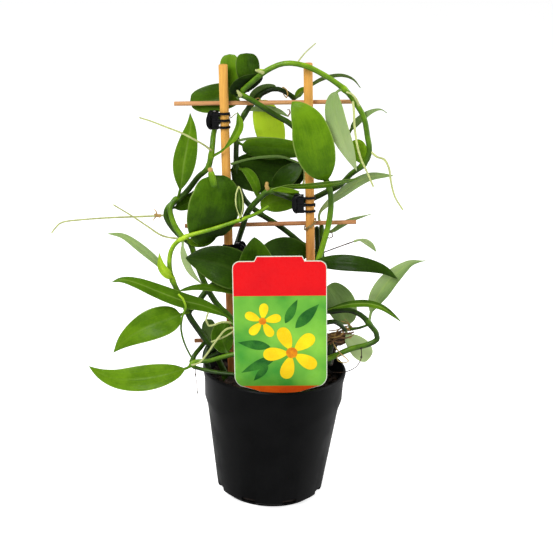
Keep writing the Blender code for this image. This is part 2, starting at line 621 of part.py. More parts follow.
def squared(part):
    """A sine or cosine bent so that a turn is a rounded square."""
    return math.copysign(abs(part) ** TIE_SQUARENESS, part)


def build_tie(name, bar, side, wire):
    """A closed turn of wire slanting across a stake in front and its crossbar behind."""
    clear = GAP + TIE_RADIUS
    front, rear = -STAKE_RADIUS - clear, BAR_BACK + BAR_RADIUS + clear
    reach = (STAKE_RADIUS + clear) / math.cos(TIE_SLANT) + GAP
    place = crossing(bar, side)
    turns = []
    for number in range(TIE_STEPS):
        angle = math.tau * number / TIE_STEPS
        slant = reach * squared(math.cos(angle))
        deep = (front + rear) / 2 + (rear - front) / 2 * squared(math.sin(angle))
        turns.append(place @ Vector((slant * math.cos(TIE_SLANT), deep, slant * math.sin(TIE_SLANT))))
    tube(name, turns, TIE_RADIUS, TIE_RADIUS, 4, True, wire)


def strip(name, line, thick, low, high):
    """A bent plate: a line in the XY plane given a thickness and drawn up from low to high."""
    sides = []
    for number, (x, y) in enumerate(line):
        before, after = line[max(number - 1, 0)], line[min(number + 1, len(line) - 1)]
        along = Vector((after[0] - before[0], after[1] - before[1])).normalized()
        sides.append((Vector((x, y)), Vector((-along.y, along.x)) * thick / 2))
    outline = [place + out for place, out in sides] + [place - out for place, out in reversed(sides)]
    shape = bmesh.new()
    face = shape.faces.new([shape.verts.new((*point, low)) for point in outline])
    drawn = bmesh.ops.extrude_face_region(shape, geom=[face])
    moved = [item for item in drawn["geom"] if isinstance(item, bmesh.types.BMVert)]
    bmesh.ops.translate(shape, verts=moved, vec=(0, 0, high - low))
    bmesh.ops.recalc_face_normals(shape, faces=shape.faces)
    return object_of(name, shape)


def build_jaw(name, end, hand, place, finish):
    """One jaw about its pin: finger pad, plate over the pin, two ears round it and claws round the stake.

    Its hand is 1 with the pad to the left of the stake, or -1 with the pad to the right.
    """
    facing = -1 if end == "front" else 1
    claw = STAKE_RADIUS + CLAW_GAP + CLIP_WALL / 2
    plate_y = EAR_RADIUS + GAP + CLIP_WALL / 2
    line = [(-PAD_REACH, PAD_SPREAD + PAD_FLARE), (-PAD_REACH * 0.6, PAD_SPREAD),
            (-EAR_RADIUS, plate_y), (0, plate_y), (SHOULDER, plate_y)]
    arc = [(-PIN_X - claw * math.cos(angle), claw * math.sin(angle)) for angle in map(math.radians, CLAW_ARC)]
    pad_line = [(x * hand, y * facing) for x, y in line]
    pad = strip(name, pad_line, CLIP_WALL, -CLIP_HEIGHT / 2, CLIP_HEIGHT / 2)
    pieces = []
    for level in CLAW_LEVELS[end]:
        claw_line = [(x * hand, y * facing) for x, y in [(SHOULDER / 4, plate_y), (SHOULDER, plate_y)] + arc]
        pieces.append(strip("claw", claw_line, CLAW_THICK, level - CLAW_WIDTH / 2, level + CLAW_WIDTH / 2))
    for level in EAR_LEVELS[end]:
        ear = rod("ear", EAR_RADIUS, EAR_WIDTH, Matrix.Translation((0, 0, level - EAR_WIDTH / 2)), 10)
        hole = Matrix.Translation((0, 0, level - EAR_WIDTH))
        combine(ear, [rod("hole", PIN_RADIUS + PIN_GAP, 2 * EAR_WIDTH, hole, 10)], "DIFFERENCE")
        web = (EAR_RADIUS, plate_y - EAR_RADIUS + WEB_SINK, 0.9 * EAR_WIDTH)
        middle = (0, facing * (plate_y + EAR_RADIUS - WEB_SINK) / 2, level)
        pieces += [ear, box("web", web, Matrix.Translation(middle))]
    jaw = combine(pad, pieces, "UNION")
    jaw.matrix_world = place
    jaw.data.materials.clear()
    jaw.data.materials.append(finish)
    return jaw


def build_clips(plastic, steel):
    """The claw clips. The front jaw turns on the pin, and the rear jaw stays with the stake."""
    for name, clip in CLIPS.items():
        pin = rack_place(stake_side(clip.stake) + PIN_X * clip.hand, clip.height)
        for end in CLAW_LEVELS:
            build_jaw(f"clip_{name}_{end}_jaw", end, clip.hand, pin, plastic)
        length = CLIP_HEIGHT + 2 * GAP
        rod(f"clip_{name}_pin", PIN_RADIUS, length, pin @ Matrix.Translation((0, 0, -length / 2)), 10, steel)


def arc_points(centre, radius, start, end, count):
    """Points on an arc, its angles in degrees."""
    angles = [math.radians(start + (end - start) * number / (count - 1)) for number in range(count)]
    return [(centre[0] + radius * math.cos(angle), centre[1] + radius * math.sin(angle)) for angle in angles]


def build_label(finish):
    """The label: a flat plate with a raised tab, round corners, a chin that narrows, and a spike."""
    half, tall, corner, chin = LABEL_WIDTH / 2, LABEL_HEIGHT, LABEL_CORNER, LABEL_CHIN
    tab, rise = LABEL_TAB[0] / 2, LABEL_TAB[1]
    spike = SPIKE_WIDTH / 2
    right = [(0, -SPIKE_DEPTH), (spike, -SPIKE_DEPTH + 2 * spike), (spike, -SPIKE_TOP)]
    right += [(NECK_WIDTH / 2, -NECK_DROP)]
    right += arc_points((half - chin, 2 * MM), chin, -60, 0, 5)
    right += arc_points((half - corner, tall - corner), corner, 0, 90, 5)
    right += [(tab + rise, tall), (tab, tall + rise), (0, tall + rise + MM / 2)]
    left = [(-x, z) for x, z in reversed(right[1:-1])]
    shape = bmesh.new()
    face = shape.faces.new([shape.verts.new((x, -LABEL_THICK / 2, z)) for x, z in right + left])
    drawn = bmesh.ops.extrude_face_region(shape, geom=[face])
    moved = [item for item in drawn["geom"] if isinstance(item, bmesh.types.BMVert)]
    bmesh.ops.translate(shape, verts=moved, vec=(0, LABEL_THICK, 0))
    bmesh.ops.recalc_face_normals(shape, faces=shape.faces)
    shape.transform(label_place())
    return object_of("label", shape, finish)


def build_vines(green, dark):
    """The five leafy stems."""
    main = [stem("vine_main", LEFT_STEM, 2.6, 2.2, "vine_main_left"),
            stem("loop", LOOP_STEM, 2.6, 2.1, "vine_main_loop"), stem("hanging", HANGING_STEM, 2.2, 2.4),
            stem("shoot", SIDE_SHOOT, 2.3, 1.6), stem("bridge", LEFT_BRIDGE, 2.2, 2.2),
            stem("petiole", HEART_PETIOLE, 1.3, 1.3)]
    vine("vine_main", main, MAIN_LEAVES, MAIN_ROOTS, green)
    centre = [stem("vine_centre", CENTRE_STEM, 2.5, 2, "vine_centre"), stem("side", CENTRE_SIDE, 2.2, 1.9)]
    vine("vine_centre", centre, CENTRE_LEAVES, [], dark)
    right = [stem("vine_right", RIGHT_STEM, 2.5, 2.1, "vine_right"), stem("petiole", DULL_PETIOLE, 1.2, 1.4)]
    vine("vine_right", right, RIGHT_LEAVES, RIGHT_ROOTS, green)
    vine("vine_low", [stem("vine_low", LOW_STEM, 2.4, 1.8, "vine_low")], LOW_LEAVES, LOW_ROOTS, green)
    label = [stem("vine_label", LABEL_STEM, 2.6, 2.2, "vine_label"), stem("branch", LABEL_BRANCH, 2.2, 2)]
    vine("vine_label", label, LABEL_LEAVES, LABEL_ROOTS, dark)


def main():
    """Build the plant, its rack, clips and label, and the pot."""
    clear_scene()
    cane = material("bamboo", (0.72, 0.42, 0.16), 0.55)
    stick = material("bamboo_stick", (0.55, 0.28, 0.12), 0.6)
    plastic = material("clip_plastic", (0.02, 0.02, 0.024), 0.35)
    steel = material("steel", (0.5, 0.5, 0.52), 0.3, 1.0)
    green = material("young_green", (0.13, 0.32, 0.05), 0.4)
    dark = material("dark_green", (0.04, 0.13, 0.02), 0.4)
    build_pot(material("pot_plastic", (0.012, 0.012, 0.014), 0.38))
    build_substrate(material("substrate", (0.06, 0.035, 0.022), 0.95))
    build_rack(cane, stick, material("wire", (0.25, 0.16, 0.06), 0.6), steel)
    build_clips(plastic, steel)
    build_label(material("label_plastic", (0.45, 0.7, 0.2), 0.3))
    build_vines(green, dark)


main()
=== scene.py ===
"""Looks of a vanilla orchid on a leaning bamboo rack, in its nursery pot with a plant label.

Metres, +Z up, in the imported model's frame: the origin is the centre of the pot's flat base, and -Y is the
side that the label faces. Stems, leaves and roots are placed by spots: a column and a row of the camera's
square picture, and how far back from the pot's axis the spot lies, in millimetres.
"""
import logging
import math
import random
from bisect import bisect_right
from collections.abc import Callable, Iterable, Sequence
from dataclasses import dataclass, field
from enum import Enum

import bmesh
import bpy
from mathutils import Matrix, Vector, noise


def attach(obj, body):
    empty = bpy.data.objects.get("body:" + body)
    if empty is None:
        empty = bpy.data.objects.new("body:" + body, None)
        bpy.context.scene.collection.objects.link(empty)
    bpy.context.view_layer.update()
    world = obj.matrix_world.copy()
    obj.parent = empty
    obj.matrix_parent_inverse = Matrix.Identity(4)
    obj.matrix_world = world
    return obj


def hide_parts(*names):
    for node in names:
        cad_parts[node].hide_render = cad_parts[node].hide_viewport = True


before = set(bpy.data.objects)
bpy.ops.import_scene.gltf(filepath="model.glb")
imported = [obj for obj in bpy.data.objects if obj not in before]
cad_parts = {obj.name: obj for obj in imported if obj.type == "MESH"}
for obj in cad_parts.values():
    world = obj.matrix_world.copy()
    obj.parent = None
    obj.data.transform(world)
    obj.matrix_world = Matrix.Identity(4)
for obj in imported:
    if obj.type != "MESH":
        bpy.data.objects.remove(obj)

MM = 0.001
SHARP_ANGLE = math.radians(38)
MERGE_DISTANCE = 1e-7
LENS_POWER = 1.3
log = logging.getLogger("orchid")

Pair = tuple[float, float]
Triple = tuple[float, float, float]
Spot = Triple
Colour = Triple
Place = Callable[[int, float], Vector]
Along = Callable[[float, Vector], float]
Material = bpy.types.Material
NodeTree = bpy.types.NodeTree
Object = bpy.types.Object
Socket = bpy.types.NodeSocket


class Body(Enum):
    """The bodies of the frame that pieces ride on."""

    PLANT = "plant"
    UPPER_JAW = "upper_jaw"
    MIDDLE_JAW = "middle_jaw"
    LOWER_JAW = "lower_jaw"


class Slot(Enum):
    """The record's material slots."""

    POT = "pot_plastic"
    SOIL = "substrate"
    CANE = "bamboo"
    STICK = "bamboo_stick"
    WIRE = "wire"
    CLIP = "clip_plastic"
    STEEL = "steel"
    LABEL = "label_plastic"
    YOUNG = "young_green"
    DARK = "dark_green"


class End(Enum):
    """The two jaws of a clip: the way each faces along Y."""

    FRONT = -1
    REAR = 1


@dataclass(frozen=True)
class View:
    """The camera: its place, its tilt and the square picture that spots are read in."""

    size: float = 553
    focal: float = 1479
    eye: Triple = (-1.5 * MM, -1150 * MM, 560 * MM)
    pitch: float = math.radians(17.9)
    roll: float = math.radians(2.4)
    sensor: float = 36

    def spot(self, column: float, row: float, back: float) -> Vector:
        """Find the point seen at a column and a row.

        Args:
            column: Pixels from the picture's left edge.
            row: Pixels from the picture's top edge.
            back: Millimetres behind the pot's axis.

        Returns:
            The point in metres.
        """
        across, down = column - self.size / 2, row - self.size / 2
        right = (across * math.cos(self.roll) + down * math.sin(self.roll)) / self.focal
        up = (across * math.sin(self.roll) - down * math.cos(self.roll)) / self.focal
        ahead = math.cos(self.pitch) + up * math.sin(self.pitch)
        rise = up * math.cos(self.pitch) - math.sin(self.pitch)
        eye = Vector(self.eye)
        return eye + Vector((right, ahead, rise)) * ((back * MM - eye.y) / ahead)

    def make_camera(self) -> None:
        """Create the scene's camera."""
        lens = bpy.data.cameras.new("camera")
        lens.sensor_width = self.sensor
        lens.lens = self.sensor * self.focal / self.size
        camera = bpy.data.objects.new("camera", lens)
        level = Matrix.Rotation(math.pi / 2 - self.pitch, 4, "X")
        camera.matrix_world = Matrix.Translation(self.eye) @ level @ Matrix.Rotation(self.roll, 4, "Z")
        bpy.context.scene.collection.objects.link(camera)
        bpy.context.scene.camera = camera


VIEW = View()


class Tree:
    """Short calls that add and join the nodes of one material or node group."""

    def __init__(self, tree: NodeTree) -> None:
        """Work on a node tree."""
        self.tree = tree

    def add(self, kind: str, inputs: dict | None = None, **settings: object) -> bpy.types.Node:
        """Add a shader node.

        Args:
            kind: The node's type, without its ShaderNode prefix.
            inputs: Values or output sockets for its inputs, by name or number.
            settings: Properties to set on the node.

        Returns:
            The new node.
        """
        node = self.tree.nodes.new("ShaderNode" + kind)
        for name, value in settings.items():
            setattr(node, name, value)
        self.feed(node, inputs or {})
        return node

    def feed(self, node: bpy.types.Node, inputs: dict) -> None:
        """Give a node's inputs their values or links."""
        for name, value in inputs.items():
            if isinstance(value, Socket):
                self.tree.links.new(value, node.inputs[name])
            else:
                node.inputs[name].default_value = value

    def effect(self, shared: NodeTree, **inputs: object) -> bpy.types.bpy_prop_collection:
        """Place a shared effect, give it its inputs by name and return its outputs."""
        return self.add("Group", inputs, node_tree=shared).outputs

    def math(self, operation: str, first: object, second: object = 0) -> Socket:
        """Add a Math node and return its result."""
        return self.add("Math", {0: first, 1: second}, operation=operation).outputs[0]

    def sum(self, total: object, *others: object) -> Socket:
        """Add values up and return their sum."""
        for other in others:
            total = self.math("ADD", total, other)
        return total

    def times(self, product: object, *others: object) -> Socket:
        """Multiply values and return their product."""
        for other in others:
            product = self.math("MULTIPLY", product, other)
        return product

    def span(self, value: object, low: float, high: float, start: float = 0, end: float = 1) -> Socket:
        """Map a value from one span to another, smoothly and held at the ends, and return the result."""
        inputs = {"Value": value, "From Min": low, "From Max": high, "To Min": start, "To Max": end}
        return self.add("MapRange", inputs, interpolation_type="SMOOTHSTEP").outputs[0]

    def vary(self, share: object, low: float, high: float) -> Socket:
        """Map a share to between low and high, smoothly, and return the result."""
        return self.span(share, 0, 1, low, high)

    def mix(self, share: object, first: object, second: object) -> Socket:
        """Mix two colours by a share, which is held between 0 and 1, and return the result."""
        first, second = ((*colour, 1) if isinstance(colour, tuple) else colour for colour in (first, second))
        return self.add("Mix", {0: share, 6: first, 7: second}, data_type="RGBA").outputs[2]

    def noise(self, scale: object, detail: float, vector: Socket, rough: float = 0.55) -> Socket:
        """Add a noise texture and return its value."""
        inputs = {"Vector": vector, "Scale": scale, "Detail": detail, "Roughness": rough}
        return self.add("TexNoise", inputs).outputs[0]

    def place(self) -> Socket:
        """Add the coordinates of the object and return them."""
        return self.add("TexCoord").outputs["Object"]

    def flow(self) -> Socket:
        """Add the piece's own UV map and return it."""
        return self.add("UVMap", uv_map="UVMap").outputs[0]

    def attribute(self, name: str) -> Socket:
        """Add an attribute of the piece and return its value."""
        return self.add("Attribute", attribute_name=name).outputs["Fac"]

    def part(self, vector: Socket, axis: int) -> Socket:
        """Return one coordinate of a vector."""
        return self.add("SeparateXYZ", {0: vector}).outputs[axis]

    def up(self) -> Socket:
        """Return how far the surface faces up."""
        return self.part(self.add("NewGeometry").outputs["Normal"], 2)

    def bump(self, height: object, distance: float, strength: float = 1.0) -> Socket:
        """Add a Bump node for a height and return its normal."""
        return self.add("Bump", {"Height": height, "Distance": distance, "Strength": strength}).outputs[0]

    def ramp(self, value: object, stops: Sequence[tuple[float, Colour]]) -> Socket:
        """Add a colour ramp with the stops given and return its colour."""
        node = self.add("ValToRGB", {0: value})
        band = node.color_ramp.elements
        band[0].position, band[1].position = stops[0][0], stops[-1][0]
        band[0].color, band[1].color = (*stops[0][1], 1), (*stops[-1][1], 1)
        for share, colour in stops[1:-1]:
            band.new(share).color = (*colour, 1)
        return node.outputs[0]


class SharedEffects:
    """Node groups that several finishes share. Each is built once."""

    def __init__(self) -> None:
        """Build the groups."""
        self.mottle = self.build_mottle()
        self.streaks = self.build_streaks()
        self.dust = self.build_dust()
        self.blade = self.build_blade()

    @staticmethod
    def start(name: str, inputs: dict[str, str], outputs: Iterable[str]) -> tuple[Tree, object, object]:
        """Start a node group.

        Args:
            name: The group's name.
            inputs: Each input's name and socket kind, Float or Vector.
            outputs: The names of its outputs, which are all numbers.

        Returns:
            The group's tree, the sockets of what it is given, and its output node.
        """
        made = bpy.data.node_groups.new(name, "ShaderNodeTree")
        for label, kind in inputs.items():
            made.interface.new_socket(label, in_out="INPUT", socket_type="NodeSocket" + kind)
        for label in outputs:
            made.interface.new_socket(label, in_out="OUTPUT", socket_type="NodeSocketFloat")
        return Tree(made), made.nodes.new("NodeGroupInput").outputs, made.nodes.new("NodeGroupOutput")

    def build_mottle(self, grain_scale: float = 9) -> NodeTree:
        """Uneven patches, with grain that is so many times finer over them."""
        tree, given, out = self.start("mottle", {"Vector": "Vector", "Scale": "Float"}, ("Patches", "Grain"))
        patches = tree.noise(given["Scale"], 3, given["Vector"], 0.5)
        grain = tree.noise(tree.times(given["Scale"], grain_scale), 2, given["Vector"], 0.5)
        tree.feed(out, {"Patches": tree.span(patches, 0.3, 0.7), "Grain": grain})
        return tree.tree

    def build_streaks(self, band_scale: float = 0.25) -> NodeTree:
        """Fibres that run along an axis, in broad bands: Stretch shrinks the coordinate along it."""
        inputs = {"Vector": "Vector", "Stretch": "Vector", "Scale": "Float"}
        tree, given, out = self.start("streaks", inputs, ("Fibres", "Bands"))
        ends = {0: given["Vector"], 1: given["Stretch"]}
        drawn = tree.add("VectorMath", ends, operation="MULTIPLY").outputs[0]
        fibres = tree.noise(given["Scale"], 4, drawn, 0.6)
        bands = tree.noise(tree.times(given["Scale"], band_scale), 2, drawn, 0.5)
        tree.feed(out, {"Fibres": tree.span(fibres, 0.3, 0.72), "Bands": tree.span(bands, 0.35, 0.65)})
        return tree.tree

    def build_dust(self, scale: float = 180) -> NodeTree:
        """Dust that lies on what faces up, in patches."""
        tree, given, out = self.start("dust", {"Vector": "Vector", "Amount": "Float"}, ("Dust",))
        patches = tree.span(tree.noise(scale, 4, given["Vector"]), 0.42, 0.75)
        tree.feed(out, {"Dust": tree.times(patches, tree.span(tree.up(), 0.2, 1), given["Amount"])})
        return tree.tree

    def build_blade(self) -> NodeTree:
        """The zones of a leaf, from its own UV map: across is 0 at the rib and 1 at the edges."""
        tree, given, out = self.start("blade", {"UV": "Vector"}, ("Across", "Under", "Rib", "Rim"))
        turn = tree.times(tree.part(given["UV"], 1), math.tau)
        across = tree.math("POWER", tree.math("ABSOLUTE", tree.math("COSINE", turn)), LENS_POWER)
        under = tree.span(tree.math("SINE", turn), 0.02, -0.02)
        tree.feed(out, {"Across": across, "Under": under, "Rib": tree.span(across, 0.12, 0.0),
                        "Rim": tree.span(across, 0.93, 0.985)})
        return tree.tree


EFFECTS = SharedEffects()


@dataclass(frozen=True)
class Finish:
    """A material with its Principled shader, which subclasses dress."""

    name: str

    def material(self) -> Material:
        """Build the material."""
        made = bpy.data.materials.new(self.name)
        made.use_nodes = True
        tree = Tree(made.node_tree)
        tree.feed(made.node_tree.nodes["Principled BSDF"], self.sockets(tree))
        return made

    def sockets(self, tree: Tree) -> dict:
        """Lay out the nodes of the material.

        Args:
            tree: The material's nodes.

        Returns:
            What each socket of the shader is given.
        """
        raise NotImplementedError


# The brightest stop is partly painted light: it was raised for the glow of a leaf lit from behind.
GREENS = (
    (0.0, (0.004, 0.011, 0.001)), (0.25, (0.022, 0.058, 0.002)), (0.5, (0.070, 0.165, 0.004)),
    (0.75, (0.170, 0.330, 0.008)), (1.0, (0.47, 0.68, 0.03)),
)
FLESH = {"Subsurface Weight": 0.06, "Subsurface Radius": (0.4, 1.0, 0.15), "Subsurface Scale": 0.0015}


@dataclass(frozen=True)
class LeafFinish(Finish):
    """Waxy leaf: green by its own tone, fine veins along it, a pale rim that is partly a painted highlight, a
    paler band along the rib that is partly painted sheen, dull grey-green underside.
    """

    roughness: float = 0.29
    under_colour: Colour = (0.35, 0.44, 0.23)
    pale: Colour = (0.38, 0.48, 0.13)
    patch_scale: float = 70
    vein_stretch: Triple = (1.1, 13, 1)
    vein_scale: float = 4.5
    relief: float = 0.0001

    def sockets(self, tree: Tree) -> dict:
        """Colour by tone, mottled, with veins in colour and bump."""
        tone, crease, flow = tree.attribute("tone"), tree.attribute("crease"), tree.flow()
        zones = tree.effect(EFFECTS.blade, UV=flow)
        mottle = tree.effect(EFFECTS.mottle, Vector=tree.place(), Scale=self.patch_scale)
        veins = tree.effect(EFFECTS.streaks, Vector=flow, Stretch=self.vein_stretch, Scale=self.vein_scale)
        patches, grain, fibres = mottle["Patches"], mottle["Grain"], veins["Fibres"]
        shift = tree.sum(tree.vary(patches, -0.05, 0.04), tree.vary(fibres, -0.022, 0.026),
                         tree.span(grain, 0.35, 0.65, -0.015, 0.015))
        # A paler band along the rib, as strong as the crease: partly the rib's own colour, partly painted
        # sheen.
        band = tree.times(tree.span(zones["Across"], 0.55, 0.0, 0, 0.16), crease)
        green = tree.ramp(tree.sum(tone, shift, band), GREENS)
        dulling = tree.sum(tree.span(tone, 0.25, 1, 0.12, 0.88), tree.span(fibres, 0.2, 0.8, -0.04, 0.04))
        sided = tree.mix(zones["Under"], green, tree.mix(dulling, green, self.under_colour))
        ribbed = tree.mix(tree.times(zones["Rib"], crease, 0.6), sided, self.pale)
        # The pale rim is partly the leaf's own margin and partly a painted highlight along its edge, weaker
        # on darker leaves.
        rim = tree.times(zones["Rim"], tree.span(tone, 0.15, 0.6, 0.1, 0.5))
        rough = tree.sum(tree.times(zones["Under"], 0.16),
                         tree.vary(patches, self.roughness - 0.05, self.roughness + 0.06))
        height = tree.sum(tree.times(fibres, 1.2), grain)
        return {"Base Color": tree.mix(rim, ribbed, self.pale), "Roughness": rough,
                "Normal": tree.bump(height, self.relief, 0.6), "Specular IOR Level": 0.045,
                "Coat Weight": 0.03, "Coat Roughness": 0.08, **FLESH}


@dataclass(frozen=True)
class StemFinish(Finish):
    """Fleshy stem: green by its own tone, with painted light that makes its top lighter and painted shade
    that makes its underside darker, faint streaks and paler flecks.
    """

    roughness: float = 0.38
    patch_scale: float = 160
    streak_stretch: Triple = (3, 10, 1)
    streak_scale: float = 3.0
    relief: float = 0.00012

    def sockets(self, tree: Tree) -> dict:
        """Colour by tone with streaks along the stem."""
        streaks = tree.effect(EFFECTS.streaks, Vector=tree.flow(), Stretch=self.streak_stretch,
                              Scale=self.streak_scale)
        mottle = tree.effect(EFFECTS.mottle, Vector=tree.place(), Scale=self.patch_scale)
        patches, grain, fibres = mottle["Patches"], mottle["Grain"], streaks["Fibres"]
        # The last term of the shift is painted light and shade: the tone rises where the stem faces up and
        # falls where it faces down.
        shift = tree.sum(tree.vary(fibres, -0.06, 0.06), tree.span(grain, 0.62, 0.74, 0, 0.09),
                         tree.span(tree.up(), -0.7, 0.9, -0.12, 0.13))
        colour = tree.ramp(tree.sum(tree.attribute("tone"), shift, tree.vary(patches, -0.05, 0.05)), GREENS)
        rough = tree.vary(patches, self.roughness - 0.06, self.roughness + 0.08)
        height = tree.sum(tree.times(fibres, 0.8), grain)
        return {"Base Color": colour, "Roughness": rough, "Normal": tree.bump(height, self.relief, 0.5),
                "Specular IOR Level": 0.14, "Coat Weight": 0.12, "Coat Roughness": 0.12, **FLESH}


@dataclass(frozen=True)
class RootFinish(Finish):
    """Aerial root, bud or dry sheath: pale to brown by its own tone, rough and finely ridged."""

    stops: tuple = ((0.0, (0.012, 0.008, 0.006)), (0.3, (0.16, 0.075, 0.03)), (0.5, (0.56, 0.35, 0.10)),
                    (0.7, (0.32, 0.34, 0.13)), (1.0, (0.58, 0.64, 0.24)))
    patch_scale: float = 260
    streak_stretch: Triple = (24, 5, 1)
    streak_scale: float = 3.0
    relief: float = 0.00015

    def sockets(self, tree: Tree) -> dict:
        """Colour by tone, with dry streaks."""
        streaks = tree.effect(EFFECTS.streaks, Vector=tree.flow(), Stretch=self.streak_stretch,
                              Scale=self.streak_scale)
        mottle = tree.effect(EFFECTS.mottle, Vector=tree.place(), Scale=self.patch_scale)
        patches, fibres = mottle["Patches"], streaks["Fibres"]
        shift = tree.sum(tree.vary(fibres, -0.05, 0.05), tree.vary(patches, -0.07, 0.05))
        colour = tree.ramp(tree.sum(tree.attribute("tone"), shift), self.stops)
        return {"Base Color": colour, "Roughness": tree.vary(patches, 0.5, 0.68), "Specular IOR Level": 0.3,
                "Normal": tree.bump(tree.sum(fibres, mottle["Grain"]), self.relief, 0.6)}


@dataclass(frozen=True)
class CaneFinish(Finish):
    """Bamboo: long fibres along one axis, redder and darker low down, a few stained spots."""

    light: Colour
    deep: Colour
    stretch: Triple
    low: float = 0.10
    high: float = 0.34
    roughness: float = 0.5
    fibre_scale: float = 900
    patch_scale: float = 60
    relief: float = 0.00018

    def sockets(self, tree: Tree) -> dict:
        """Fibres in colour and bump, with a stain that grows downwards."""
        place = tree.place()
        streaks = tree.effect(EFFECTS.streaks, Vector=place, Stretch=self.stretch, Scale=self.fibre_scale)
        mottle = tree.effect(EFFECTS.mottle, Vector=place, Scale=self.patch_scale)
        depth = tree.span(tree.part(place, 2), self.high, self.low, 0.0, 0.75)
        share = tree.sum(tree.times(streaks["Fibres"], 0.35), tree.times(mottle["Patches"], 0.18), depth)
        spots = tree.span(mottle["Grain"], 0.70, 0.78, 0, 0.55)
        stain = (self.deep[0] * 0.35, self.deep[1] * 0.3, self.deep[2] * 0.3)
        return {"Base Color": tree.mix(spots, tree.mix(share, self.light, self.deep), stain),
                "Roughness": tree.vary(streaks["Bands"], self.roughness - 0.06, self.roughness + 0.1),
                "Specular IOR Level": 0.2, "Normal": tree.bump(streaks["Fibres"], self.relief, 0.6)}


@dataclass(frozen=True)
class PlasticFinish(Finish):
    """Moulded plastic: fine grain in the shine, scuffs, and dust on what faces up."""

    colour: Colour
    worn: Colour
    roughness: float
    dust: float = 0.5
    shine: float = 0.35
    patch_scale: float = 45
    grain_scale: float = 1500
    relief: float = 0.00006

    def sockets(self, tree: Tree) -> dict:
        """Scuffs and dust over one colour."""
        place = tree.place()
        patches = tree.effect(EFFECTS.mottle, Vector=place, Scale=self.patch_scale)["Patches"]
        dust = tree.effect(EFFECTS.dust, Vector=place, Amount=self.dust)["Dust"]
        wear = tree.sum(tree.times(patches, 0.35), dust)
        rough = tree.sum(tree.vary(patches, self.roughness - 0.05, self.roughness + 0.07),
                         tree.times(dust, 0.3))
        grain = tree.noise(self.grain_scale, 2, place)
        return {"Base Color": tree.mix(wear, self.colour, self.worn), "Roughness": rough,
                "Normal": tree.bump(grain, self.relief, 0.5), "Specular IOR Level": self.shine}


@dataclass(frozen=True)
class SoilFinish(Finish):
    """Bark and peat: dark brown with lighter splinters, fully rough."""

    light: Colour = (0.052, 0.028, 0.017)
    deep: Colour = (0.008, 0.0055, 0.0045)
    patch_scale: float = 240
    splinter_stretch: Triple = (0.25, 1, 1)
    splinter_scale: float = 700
    relief: float = 0.0005

    def sockets(self, tree: Tree) -> dict:
        """Crumbs in colour and bump."""
        place = tree.place()
        mottle = tree.effect(EFFECTS.mottle, Vector=place, Scale=self.patch_scale)
        fibres = tree.effect(EFFECTS.streaks, Vector=place, Stretch=self.splinter_stretch,
                             Scale=self.splinter_scale)["Fibres"]
        share = tree.sum(tree.times(mottle["Patches"], fibres, 0.7), tree.times(tree.attribute("tone"), 0.55))
        return {"Base Color": tree.mix(share, self.deep, self.light), "Specular IOR Level": 0.25,
                "Roughness": tree.vary(mottle["Patches"], 0.75, 0.98),
                "Normal": tree.bump(tree.sum(mottle["Grain"], fibres), self.relief, 0.8)}


@dataclass(frozen=True)
class PrintFinish(Finish):
    """Printed glossy plastic: one ink that clouds into another, with a fine sheet grain."""

    ink: Colour
    cloud: Colour
    scale: float
    roughness: float = 0.28
    relief: float = 0.00004

    def sockets(self, tree: Tree) -> dict:
        """Two inks in soft clouds."""
        mottle = tree.effect(EFFECTS.mottle, Vector=tree.place(), Scale=self.scale)
        rough = tree.span(mottle["Grain"], 0.3, 0.7, self.roughness - 0.04, self.roughness + 0.08)
        return {"Base Color": tree.mix(mottle["Patches"], self.ink, self.cloud), "Roughness": rough,
                "Normal": tree.bump(mottle["Grain"], self.relief, 0.3), "Specular IOR Level": 0.1}


@dataclass(frozen=True)
class FloorFinish(Finish):
    """Bright studio floor, lit through so that the camera sees it almost white."""

    colour: Colour = (0.86, 0.86, 0.86)
    cloud: Colour = (0.83, 0.83, 0.84)
    scale: float = 2.0
    roughness: float = 0.7
    glow: float = 0.66

    def sockets(self, tree: Tree) -> dict:
        """Faint clouds, with a glow for the camera alone."""
        patches = tree.effect(EFFECTS.mottle, Vector=tree.place(), Scale=self.scale)["Patches"]
        seen = tree.add("LightPath").outputs["Is Camera Ray"]
        return {"Base Color": tree.mix(patches, self.colour, self.cloud), "Roughness": self.roughness,
                "Emission Color": tree.mix(seen, (0, 0, 0), (1, 1, 1)), "Emission Strength": self.glow}


@dataclass(frozen=True)
class SteelFinish(Finish):
    """Drawn wire with faint tarnish."""

    colour: Colour
    tarnish: Colour
    roughness: float = 0.3
    metallic: float = 1.0
    scale: float = 300
    relief: float = 0.00004

    def sockets(self, tree: Tree) -> dict:
        """Tarnish in colour and shine."""
        mottle = tree.effect(EFFECTS.mottle, Vector=tree.place(), Scale=self.scale)
        return {"Base Color": tree.mix(tree.times(mottle["Patches"], 0.6), self.colour, self.tarnish),
                "Roughness": tree.vary(mottle["Patches"], self.roughness, self.roughness + 0.2),
                "Metallic": self.metallic, "Normal": tree.bump(mottle["Grain"], self.relief, 0.4)}


def hump(distance: float, reach: float) -> float:
    """A smooth hump: 1 at no distance, and falling off over its reach."""
    return math.exp(-(distance / reach) ** 2)


def smooth_line(points: Sequence[Vector], step: float) -> list[Vector]:
    """Find points on the Catmull-Rom curve through the given ones.

    Args:
        points: What the curve goes through.
        step: About how far apart the new points lie.

    Returns:
        The new points, with the given ones among them.
    """
    ends = [points[0] * 2 - points[1]] + list(points) + [points[-1] * 2 - points[-2]]
    line = [points[0].copy()]
    for before, start, end, after in zip(ends, ends[1:], ends[2:], ends[3:]):
        count = max(1, round((end - start).length / step))
        for number in range(1, count + 1):
            t = number / count
            line.append(0.5 * (2 * start + (end - before) * t
                               + (2 * before - 5 * start + 4 * end - after) * t * t
                               + (3 * start - before - 3 * end + after) * t ** 3))
    return line


